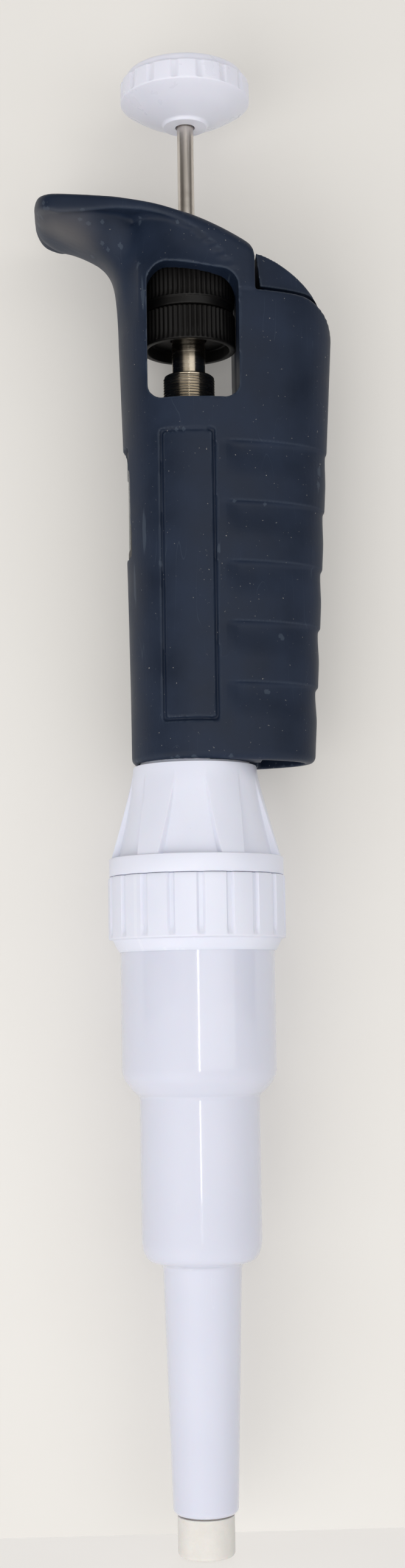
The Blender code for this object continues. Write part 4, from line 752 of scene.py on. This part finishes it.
def makeWedge():
    size = wedgeSize
    top, tip = handleShoulder + size["rise"], handleShoulder - size["tipDrop"]
    low = handleShoulder + size["lift"]
    side = [(size["front"] + size["lean"], low)]
    side += arc(size["back"] - size["under"], low - size["under"], size["under"], 90, 25, 8)
    for k in range(31, -1, -1):
        share = math.sin(math.pi / 2 * k / 32)
        height = (1 - share ** size["power"]) ** (1 / size["power"])
        side.append((size["front"] + (size["back"] - size["front"]) * share, tip + (top - tip) * height))
    foot = handleShoulder - size["skirt"]
    stemFoot = foot - size["stemLength"]
    stem = pin(size["stemRadius"], foot + size["stemRadius"], stemFoot, 32)
    socket = pin(size["socketRadius"], foot - size["lean"], stemFoot - 2, 24)
    for shape in (stem, socket):
        bmesh.ops.translate(shape, verts=shape.verts, vec=(openingSize["ejectorX"], 0, 0))
    deep = frontRadius(handleSize["bodyHeight"])
    mesh = carve(prism(side, -deep, deep, "Y"), [
        ("INTERSECT", prism(wedgePlan(0.0), foot, top + 2)),
        ("UNION", prism(wedgePlan(-size["neck"]), foot, low + 0.2)),
        ("UNION", stem),
        ("DIFFERENCE", socket),
    ], wedgeSize)
    place("ejectorWedge", mesh, slateNylon, "ejector", ("ejector_button",), 60)


makeHandle()
makeWedge()
print("handle and ejector button made")


# Barrel, nut, connector and filter

barrelSize = {
    "nozzleEnd": 7.1, "nozzleRoot": 49.0, "waistTop": 77.9, "top": 110.3, "steps": 128,
    "nozzleEndR": 5.65, "nozzleRootR": 6.85, "waistR": 10.5, "bodyR": 13.6, "flangeR": 14.5, "flange": 1.8,
    "filterR": 4.5, "filterTop": 15.4, "channelR": 3.2, "waistBore": 8.5, "bodyBore": 11.3,
}


def makeBarrel():
    size = barrelSize
    end, root, waistTop, top = size["nozzleEnd"], size["nozzleRoot"], size["waistTop"], size["top"]
    waist, body, flange = size["waistR"], size["bodyR"], size["flangeR"]
    profile = roundCorners([
        (flange, top, 0.2), (flange, top - size["flange"], 0.2), (body, top - size["flange"]),
        (body, waistTop + 3.3, 1.6), (waist + 0.9, waistTop + 0.7, 0.7), (waist + 0.02, waistTop, 0.5),
        (waist, root + 2.9, 1.6), (waist - 1.1, root + 0.75, 1.0),
        (size["nozzleRootR"] + 0.3, root + 0.1, 0.5), (size["nozzleRootR"], root - 0.6),
        (size["nozzleEndR"], end + 0.6, 0.35),
        (size["nozzleEndR"] - 0.6, end, 0.2), (size["filterR"], end), (size["filterR"], size["filterTop"]),
        (size["channelR"], size["filterTop"]), (size["channelR"], root + 2.3), (size["waistBore"], root + 4.6),
        (size["waistBore"], waistTop), (size["bodyBore"], waistTop + 3.1), (size["bodyBore"], top),
    ], 6)
    shape = roundBody(profile, size["steps"])
    place("barrelTube", shape, whiteBarrelPlastic, "handle", ("barrel",))


nutSize = {
    "radius": 15.64, "foot": 105.2, "top": 116.2, "grooves": 19, "width": 1.1, "depth": 0.45,
    "ribbedFrom": 15.0, "lip": 14.9, "bore": 13.65, "thread": 14.8, "threadFoot": 108.2,
}


def makeNut():
    size = nutSize
    first = math.pi / 2 / size["grooves"]
    foot, top, outer = size["foot"], size["top"], size["radius"]

    def ribs(angle, radius, height):
        if radius < size["ribbedFrom"]:
            return 0.0
        pitch = math.tau / size["grooves"]
        off = abs((angle - first + pitch / 2) % pitch - pitch / 2) * outer
        across = 1 - ease(off, size["width"] * 0.36, size["width"] * 0.62)
        return size["depth"] * across * ease(height, foot + 0.35, foot + 1.0)

    ladder = [(outer, top - 0.5 - 10.0 * k / 12) for k in range(13)]
    profile = roundCorners([(outer - 0.1, top, 0.4)] + ladder + [
        (outer, foot, 0.45), (size["lip"], foot - 0.05, 0.3), (size["lip"] - 0.8, foot - 1.7, 0.5),
        (size["bore"] + 0.05, foot - 2.2, 0.1), (size["bore"], foot - 2.2), (size["bore"], size["threadFoot"]),
        (size["thread"], size["threadFoot"]), (size["thread"], top)], 5)
    shape = roundBody(profile, size["grooves"] * 28, ribs)
    place("clampNut", shape, whiteGripPlastic, "handle", ("coupling_nut",))


coneSize = {
    "shelf": 119.5, "foot": 116.5, "height": 16.2, "topR": 10.95, "bottomR": 15.0, "flangeR": 15.4,
    "ribs": 6, "ribHalf": 8.0, "ribSpread": 7.5, "ribTurn": -7.0, "flank": 2.2, "recess": 1.3, "plainTop": 2.8,
    "spigotR": 9.7, "spigotTop": 150.7, "seat": 110.6, "skirtR": 14.5,
    "boreR": 8.3, "boreFoot": 128.0, "neckR": 6.2, "neckFoot": 124.0, "mouthR": 12.5, "mouthTop": 117.5,
}


def makeConnector():
    size = coneSize
    shelf, high = size["shelf"], size["height"]
    pitch, flank = 360 / size["ribs"], size["flank"]
    plain = high - size["plainTop"]

    def coneRing(rise, radius=None):
        share = min(max(rise, 0.0) / plain, 1.0)
        rib = size["ribHalf"] + size["ribSpread"] * share
        depth = size["recess"] * (1 - share) ** 0.7
        flare = size["bottomR"] - size["topR"]
        outer = size["topR"] + flare * max(1 - rise / high / 0.95, 0.0) ** 1.12
        # the points follow each rib's flanks, so that its edges run straight down the cone
        half = [rib * k / 6 for k in range(6)] + [rib + flank * k / 6 for k in range(7)]
        half += [rib + flank + (pitch / 2 - rib - flank) * k / 8 for k in range(1, 9)]
        turns = half + [pitch - off for off in half[-2:0:-1]]
        ring = []
        for k in range(size["ribs"]):
            for turn in turns:
                sunk = ease(min(turn, pitch - turn), rib, rib + flank)
                angle = math.radians(pitch * k + turn + size["ribTurn"])
                reach = radius or outer - depth * sunk
                ring.append(polar(reach, angle, shelf + rise))
        return ring

    seam = shelf - size["foot"] + 0.24  # the flange comes down to a hair above the nut
    flange, skirt, spigot, topR = size["flangeR"], size["skirtR"], size["spigotR"], size["topR"]
    seat, spigotTop = size["seat"] - shelf, size["spigotTop"] - shelf
    boreFoot, neckFoot = size["boreFoot"] - shelf, size["neckFoot"] - shelf
    steps = [
        (seat, skirt - 2.0), (seat, skirt), (-seam, skirt), (-seam, flange - 0.2),
        (-seam + 0.06, flange - 0.06), (-seam + 0.2, flange), (-0.35, flange), (-0.12, flange - 0.05),
        (-0.02, flange - 0.16)]
    steps += [(share * plain,) for share in [0.0, 0.02, 0.05] + [0.1 * k for k in range(1, 11)]]
    steps += [
        (high - 1.2,), (high - 0.4,), (high - 0.1, topR - 0.08), (high, topR - 0.3), (high, spigot),
        (spigotTop, spigot), (spigotTop, size["boreR"]), (boreFoot, size["boreR"]), (boreFoot, size["neckR"]),
        (neckFoot, size["neckR"]), (size["mouthTop"] - shelf, size["mouthR"])]
    shape = skin([coneRing(*step) for step in steps], closed=True)
    place("ribbedConnector", shape, whiteGripPlastic, "handle", ("connector",), 30)


filterSize = {"stemR": 4.2, "stemTop": 15.1, "headR": 4.9, "headTop": 6.8, "faceRound": 0.9}


def makeFilter():
    size = filterSize
    profile = roundCorners([
        (0.0, size["stemTop"]), (size["stemR"], size["stemTop"]), (size["stemR"], size["headTop"]),
        (size["headR"], size["headTop"], 0.15), (size["headR"], 0.0, size["faceRound"]), (0.0, 0.0)], 6)
    place("filterPlug", roundBody(profile, 72), sinteredFilter, "handle", ("nozzle_filter",))


makeBarrel()
makeNut()
makeConnector()
makeFilter()
print("barrel, nut, connector and filter made")


# Push-button, rod, screw and thumbwheels

buttonSize = {
    "hub": 253.5, "rim": 258.0, "rimTop": 261.6, "radius": 11.8, "scallops": 16, "scallopDepth": 0.26,
    "scallopHalf": 0.055, "capR": 10.9, "capFoot": 260.5, "capTop": 263.95,
    "hubR": 4.0, "rodBore": 1.8, "rodR": 1.5, "pocketR": 5.2, "pocketFoot": 258.5,
    "seatR": 11.2, "seat": 260.2, "scallopIn": (11.0, 11.6),
}


def makeButton():
    size = buttonSize
    outer, rim, hub, rimTop = size["radius"], size["rim"], size["hub"], size["rimTop"]

    def scallop(angle, radius, height):
        pitch = math.tau / size["scallops"]
        off = abs(angle % pitch - pitch / 2)
        across = math.sqrt(max(1 - (off / size["scallopHalf"]) ** 2, 0.0))
        inward, upward = ease(radius, *size["scallopIn"]), ease(height, rim + 0.1, rim + 0.5)
        return size["scallopDepth"] * across * inward * upward

    profile = roundCorners([
        (size["seatR"], rimTop), (outer - 0.05, rimTop, 0.3), (outer, rim + 0.5), (outer - 0.02, rim, 0.22),
        (10.6, rim - 0.8, 0.5), (8.0, hub + 2.1, 1.2), (5.4, hub + 1.0, 0.8),  # the flared underside
        (size["hubR"] + 0.2, hub + 0.6, 0.3), (size["hubR"], hub, 0.15), (size["rodBore"], hub),
        (size["rodBore"], size["pocketFoot"]), (size["pocketR"], size["pocketFoot"]),
        (size["pocketR"], size["seat"]), (size["seatR"], size["seat"]),
    ], 6)
    shape = roundBody(profile, size["scallops"] * 24, scallop)
    place("pushButtonRim", shape, whiteButtonAbs, "plunger", ("push_button",))
    capR, capTop, capFoot = size["capR"], size["capTop"], size["capFoot"]
    cap = roundCorners([
        (0.0, capTop), (4.9, capTop - 0.08, 1.5), (8.6, capTop - 0.35, 1.2), (capR, capTop - 0.75, 1.1),
        (capR, capFoot, 0.1), (0.0, capFoot)], 7)
    place("buttonDome", roundBody(cap, 128), whiteButtonAbs, "plunger", ("button_cap",))
    low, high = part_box("push_rod")
    low, high, radius = low.z / mm, high.z / mm, size["rodR"]
    rod = roundCorners([(0.0, high), (radius, high, 0.2), (radius, low, 0.1), (0.0, low)])
    place("steelPushRod", roundBody(rod, 48), groundSteel, "plunger", ("push_rod",))


screwSize = {
    "neckR": 3.0, "threadR": 4.65, "pitch": 0.5, "threadDeep": 0.17, "top": 225.7, "threadTop": 206.6,
    "threadFoot": 192.0, "tailEnd": 172.0, "tailR": 2.61, "bore": 1.8, "count": 56, "perTurn": 8,
}


def makeScrew():
    size = screwSize
    count, neck, bore = size["count"], size["neckR"], size["bore"]
    crestR, top, foot = size["threadR"], size["threadTop"], size["threadFoot"]

    def ring(radii, height):
        return [polar(radius, math.tau * i / count, height) for i, radius in enumerate(radii)]

    rings = [ring([radius] * count, height) for radius, height in (
        (bore, size["top"]), (neck, size["top"]), (neck, top + 0.5), (neck, top + 0.3),
        (neck + 0.1, top + 0.05), (neck + 0.25, top), (crestR - 0.55, top))]
    steps = int((top - foot) / size["pitch"] * size["perTurn"])
    for k in range(steps + 1):
        height = top - 0.02 - (top - foot - 0.04) * k / steps
        lead = min(1.0, (0.4 + (top - height)) / 0.9)  # the first turn is chamfered
        radii = []
        for i in range(count):
            phase = (height / size["pitch"] + i / count) % 1.0
            crest = 1 - abs(2 * phase - 1)
            crest = min(max((crest - 0.15) / 0.7, 0.0), 1.0)
            radii.append(crestR - 0.45 * (1 - lead) - size["threadDeep"] * (1 - crest))
        rings.append(ring(radii, height))
    rings += [ring([radius] * count, height) for radius, height in (
        (size["tailR"], foot), (size["tailR"], size["tailEnd"]), (bore, size["tailEnd"]))]
    place("threadedScrew", skin(rings, closed=True), turnedNickel, "screw", ("micrometer_screw",), 50)


wheelSize = {
    "ridges": 56, "radius": 8.55, "upperR": 8.4, "smoothR": 8.2, "split": 217.85, "gap": 0.3, "foot": 211.4,
    "top": 226.0, "band": 1.55, "depth": 0.26, "power": 1.6, "knurlFrom": 8.0, "hole": 3.3, "hollow": 2.0,
}


def makeWheels():
    size = wheelSize

    def knurled(name, profile, lowest, highest, node):
        def dent(angle, radius, height):
            if radius < size["knurlFrom"]:
                return 0.0
            share = (angle * size["ridges"] / math.tau) % 1.0
            across = 0.5 - 0.5 * math.cos(math.tau * share)
            ends = ease(height, lowest, lowest + 0.35), 1 - ease(height, highest, highest + 0.3)
            return size["depth"] * across ** size["power"] * ends[0] * ends[1]
        shape = roundBody(roundCorners(profile, 4), size["ridges"] * 8, dent)
        place(name, shape, blackAcetal, "screw", (node,), 50)

    foot, split, top, hole = size["foot"], size["split"], size["top"], size["hole"]
    outer, lowerTop, ledge = size["radius"], split - size["gap"], foot + size["hollow"]
    ladder = [(outer, foot + 0.5 + 5.2 * k / 6) for k in range(7)]
    knurled("thumbwheelKnurlLow", [
        (hole, lowerTop), (hole, ledge), (outer - 1.4, ledge, 0.3), (outer - 1.1, foot, 0.15),
        (outer, foot, 0.35),
    ] + ladder + [(outer, lowerTop, 0.3)], foot + 0.25, lowerTop + 1, "thumbwheel_lower")
    upper, smooth, band = size["upperR"], size["smoothR"], split + size["band"]
    ladder = [(upper, band + 0.45 + 5.6 * k / 6) for k in range(7)]
    knurled("thumbwheelKnurlHigh", [
        (hole, top), (hole, split), (smooth, split, 0.3), (smooth, band - 0.15, 0.1), (upper, band, 0.25),
    ] + ladder + [(upper, top, 0.35)], band + 0.1, top + 1, "thumbwheel_upper")


makeButton()
makeScrew()
makeWheels()
print("button, rod, screw and thumbwheel made")


# Coil springs: each stands on the handle, drawn at one length
springLook = {  # piece: frame node, joint, the joint's travel, coil radius, wire radius and free turns
    "mainSpringCoil": ("main_spring", "plunger_press", 16.5, 4.6, 0.40, 8),
    "blowoutSpringCoil": ("blowout_spring", "blowout_press", 4.01, 7.1, 0.60, 3),
    "ejectorSpringCoil": ("ejector_spring", "ejector_press", 6.0, 2.5, 0.35, 3),
}
springSteps = {"turn": 28, "wire": 10, "closed": 2.2}  # points round a turn and the wire; rise of a closed turn


def makeSpring(name, node, joint, travel, radius, wire, turns):
    low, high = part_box(node)
    centreX = (low.x + high.x) / 2 / mm
    bottom, top = low.z / mm + wire, high.z / mm - wire
    lie = springSteps["closed"] * wire  # the end turns lie closed on their neighbours
    last = (turns + 2) * springSteps["turn"]
    rings = []
    for k in range(last + 1):
        turn = k / springSteps["turn"]
        free = min(max(turn - 1.0, 0.0), turns)
        height = bottom + lie * min(turn, 1.0) + (top - bottom - 2 * lie) * free / turns
        height += lie * max(turn - 1.0 - turns, 0.0)
        angle = math.tau * turn
        ring = []
        for i in range(springSteps["wire"]):
            around = math.tau * i / springSteps["wire"]
            reach = radius + wire * math.cos(around)
            z = height + wire * math.sin(around)
            ring.append((centreX + reach * math.cos(angle), reach * math.sin(angle), z))
        rings.append(ring)
    piece = place(name, skin(rings), springSteel, "handle", (node,), 50)
    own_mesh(piece)


for name, spring in springLook.items():
    makeSpring(name, *spring)
print("springs made")


# Digits on the number wheels

digitSize = {"height": 2.3, "capShare": 0.7, "radius": 8.225, "rise": 0.03}
digitRows = {  # body: height of the band's middle, and the digit that shows at rest
    "dial": (175.7, 0), "tenths": (182.1, 0), "millilitres": (188.5, 5),
}


def makeDigits(body, middle, shown):
    shape = bmesh.new()
    for digit in range(10):
        words = bpy.data.curves.new("digit", "FONT")
        words.body = str(digit)
        words.size = digitSize["height"] / digitSize["capShare"]
        words.align_x = "CENTER"
        words.extrude = digitSize["rise"] / 2
        words.resolution_u = 4
        item = bpy.data.objects.new("digit", words)
        scene.collection.objects.link(item)
        mesh = bpy.data.meshes.new_from_object(item.evaluated_get(bpy.context.evaluated_depsgraph_get()))
        bpy.data.objects.remove(item)
        seat = math.pi - math.radians(36 * (digit - shown))
        for vert in mesh.vertices:
            angle = seat + vert.co.x / digitSize["radius"]
            height = middle - digitSize["height"] / 2 + vert.co.y
            vert.co = polar(digitSize["radius"] + vert.co.z, angle, height)
        shape.from_mesh(mesh)
        bpy.data.meshes.remove(mesh)
    place(body + "Digits", shape, padInk, body, ())


for body, (middle, shown) in digitRows.items():
    makeDigits(body, middle, shown)
print("digits made")


# Finishes of the frame's own pieces

finishByNode = {
    "display_bezel": blackAcetal, "counter_frame": blackAcetal, "display_lens": clearPolycarbonate,
    "hundredths_wheel": whiteGripPlastic, "tenths_wheel": whiteGripPlastic,
    "millilitre_wheel": whiteGripPlastic,
    "tenths_pinion": naturalNylon, "millilitre_pinion": naturalNylon, "pinion_shaft": groundSteel,
    "rod_bush": naturalNylon, "rod_collar": naturalNylon, "piston": naturalNylon,
    "ejector_collar": naturalNylon,
    "piston_seal": whiteBarrelPlastic, "piston_o_ring": blackNitrile, "friction_ring": blackNitrile,
    "screw_nut": turnedBrass, "piston_rod": groundSteel, "piston_screw": groundSteel,
    "ejector_rod": groundSteel, "spring_seat": groundSteel, "blowout_plate": groundSteel,
}
for name, material in finishByNode.items():  # every other node has a finer piece in its place
    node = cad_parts[name]
    node.data.materials.clear()
    node.data.materials.append(material)


# Backdrop, floor, world, lamps and camera

stageLook = {
    "backdropY": 16.9, "backdropZ": 130.0, "backdropHalf": 900.0, "floorZ": -0.3, "floorHalf": 2500.0,
}
cardLook = {"deep": "#e3dfd9", "pale": "#e9e6e1", "cloudMm": 60.0, "lit": 0.85, "near": 160.0, "far": 340.0}
tableLook = cardLook | {"deep": "#eeeae5", "pale": "#f3f0ec", "lit": 0.30}


def paperFinish(name, look):
    # matt card: an even warm pale tone that keeps the soft shadow near the object, and glows evenly away from it
    material, tree, shader, spot = newMaterial(name)
    tree.nodes.remove(shader)
    fibre = addNode(tree, "TexNoise", {"Vector": spot, "Scale": perMm(look["cloudMm"]), "Detail": 6.0})
    tone = addNode(tree, "Mix", {0: fibre, 6: look["deep"], 7: look["pale"]}, data_type="RGBA")
    shaded = addNode(tree, "BsdfDiffuse", {"Color": tone})
    glow = addNode(tree, "Emission", {"Color": tone})
    away = addNode(tree, "VectorMath", {0: spot}, operation="LENGTH")
    share = addNode(tree, "MapRange", {
        0: away, 1: look["near"] * mm, 2: look["far"] * mm, 3: 1 - look["lit"],
    }, interpolation_type="SMOOTHSTEP")
    card = addNode(tree, "MixShader", {0: share, 1: shaded, 2: glow})
    # seen from its front and in reflections, but clear to light that bounces and from behind
    path = addNode(tree, "LightPath").outputs
    seen = path["Is Camera Ray"]
    for ray in ("Is Glossy Ray", "Is Transmission Ray"):
        seen = addNode(tree, "Math", {0: seen, 1: path[ray]}, operation="ADD", use_clamp=True)
    behind = addNode(tree, "NewGeometry").outputs["Backfacing"]
    seen = addNode(tree, "Math", {0: seen, 1: behind}, operation="SUBTRACT", use_clamp=True)
    result = addNode(tree, "MixShader", {0: seen, 1: addNode(tree, "BsdfTransparent"), 2: card})
    feed(tree, tree.nodes["Material Output"], {"Surface": result})
    return material


def makeCard(name, centre, tilt, half, material):
    shape = bmesh.new()
    bmesh.ops.create_grid(shape, x_segments=1, y_segments=1, size=half * mm)
    mesh = bpy.data.meshes.new(name)
    shape.to_mesh(mesh)
    shape.free()
    mesh.materials.append(material)
    card = bpy.data.objects.new(name, mesh)
    card.location = Vector(centre) * mm
    card.rotation_euler.x = math.radians(tilt)
    scene.collection.objects.link(card)


middle = (0, stageLook["backdropY"], stageLook["backdropZ"])
makeCard("backdropCard", middle, 90, stageLook["backdropHalf"], paperFinish("paleCard", cardLook))
middle = (0, 0, stageLook["floorZ"])
makeCard("floorCard", middle, 0, stageLook["floorHalf"], paperFinish("paleTable", tableLook))

worldLook = {
    "fill": 0.595, "room": "#66635f", "front": "#cfccc7", "page": "#e6e3dd",
    "pageFrom": -0.10, "pageFull": 0.40, "frontFrom": -0.72, "frontFull": -0.90,  # along Y, from -1 to 1
}


def makeWorld(look):
    world = bpy.data.worlds.new("room")
    scene.world = world
    world.use_nodes = True
    tree = world.node_tree
    path = addNode(tree, "LightPath").outputs
    aim = addNode(tree, "TexCoord").outputs["Generated"]
    along = addNode(tree, "SeparateXYZ", {0: aim}).outputs[1]
    # what gloss reflects: the pale card behind the object, a dim room at the sides, a lit wall behind the camera
    mirror = look["room"]
    for side in ("page", "front"):
        share = addNode(tree, "MapRange", {
            0: along, 1: look[side + "From"], 2: look[side + "Full"]}, interpolation_type="SMOOTHSTEP")
        mirror = addNode(tree, "Mix", {0: share, 6: mirror, 7: look[side]}, data_type="RGBA")
    fill = (look["fill"],) * 3 + (1.0,)
    fill = addNode(tree, "Mix", {0: path["Is Glossy Ray"], 6: fill, 7: mirror}, data_type="RGBA")
    plain = addNode(tree, "Math", {
        0: path["Is Camera Ray"], 1: path["Is Transmission Ray"]}, operation="ADD", use_clamp=True)
    shade = addNode(tree, "Mix", {0: plain, 6: fill, 7: look["page"]}, data_type="RGBA")
    feed(tree, tree.nodes["Background"], {"Color": shade})


makeWorld(worldLook)

lampAim = 130.0  # all lamps point at this height on the axis, in mm
lampLook = {  # place in mm, size in mm, watts
    "windowLight": ((-530, -720, -420), (900, 900), 5.3),
    "roomLight": ((400, -780, 110), (800, 900), 1.95),
    "nearGlint": ((-18, -470, 100), (14, 200), 0.12),
    "backFill": ((120, 760, 320), (600, 600), 2.2),
}
for name, (spot, size, watts) in lampLook.items():
    data = bpy.data.lights.new(name, "AREA")
    data.shape = "RECTANGLE"
    data.size, data.size_y = size[0] * mm, size[1] * mm
    data.energy = watts
    light = bpy.data.objects.new(name, data)
    light.location = Vector(spot) * mm
    toward = Vector((0, 0, lampAim * mm)) - light.location
    light.rotation_euler = toward.to_track_quat("-Z", "Y").to_euler()
    scene.collection.objects.link(light)

cameraLook = {
    "focalPixels": 3500, "imageHeight": 2576, "sensor": 36.0, "distance": 0.376, "height": 0.0938,  # metres
    "yaw": 2.5, "aim": 2.70, "pitch": 5.9, "roll": 0.9,  # degrees
}


def makeCamera():
    look = cameraLook
    data = bpy.data.cameras.new("camera")
    data.sensor_fit = "VERTICAL"
    data.sensor_height = look["sensor"]
    data.lens = look["sensor"] * look["focalPixels"] / look["imageHeight"]
    data.clip_start = 0.01
    yaw, aimed = math.radians(look["yaw"]), math.radians(look["aim"])
    pitch, roll = math.radians(look["pitch"]), math.radians(look["roll"])
    ahead = Vector((math.sin(aimed) * math.cos(pitch), math.cos(aimed) * math.cos(pitch), math.sin(pitch)))
    right = ahead.cross(Vector((0, 0, 1))).normalized()
    up = right.cross(ahead)
    tiltedRight = right * math.cos(roll) - up * math.sin(roll)
    tiltedUp = right * math.sin(roll) + up * math.cos(roll)
    pose = Matrix((tiltedRight, tiltedUp, -ahead)).transposed().to_4x4()
    pose.translation = (-look["distance"] * math.sin(yaw), -look["distance"] * math.cos(yaw), look["height"])
    camera = bpy.data.objects.new("camera", data)
    camera.matrix_world = pose
    scene.collection.objects.link(camera)
    scene.camera = camera


makeCamera()
print("stage, lamps and camera set")
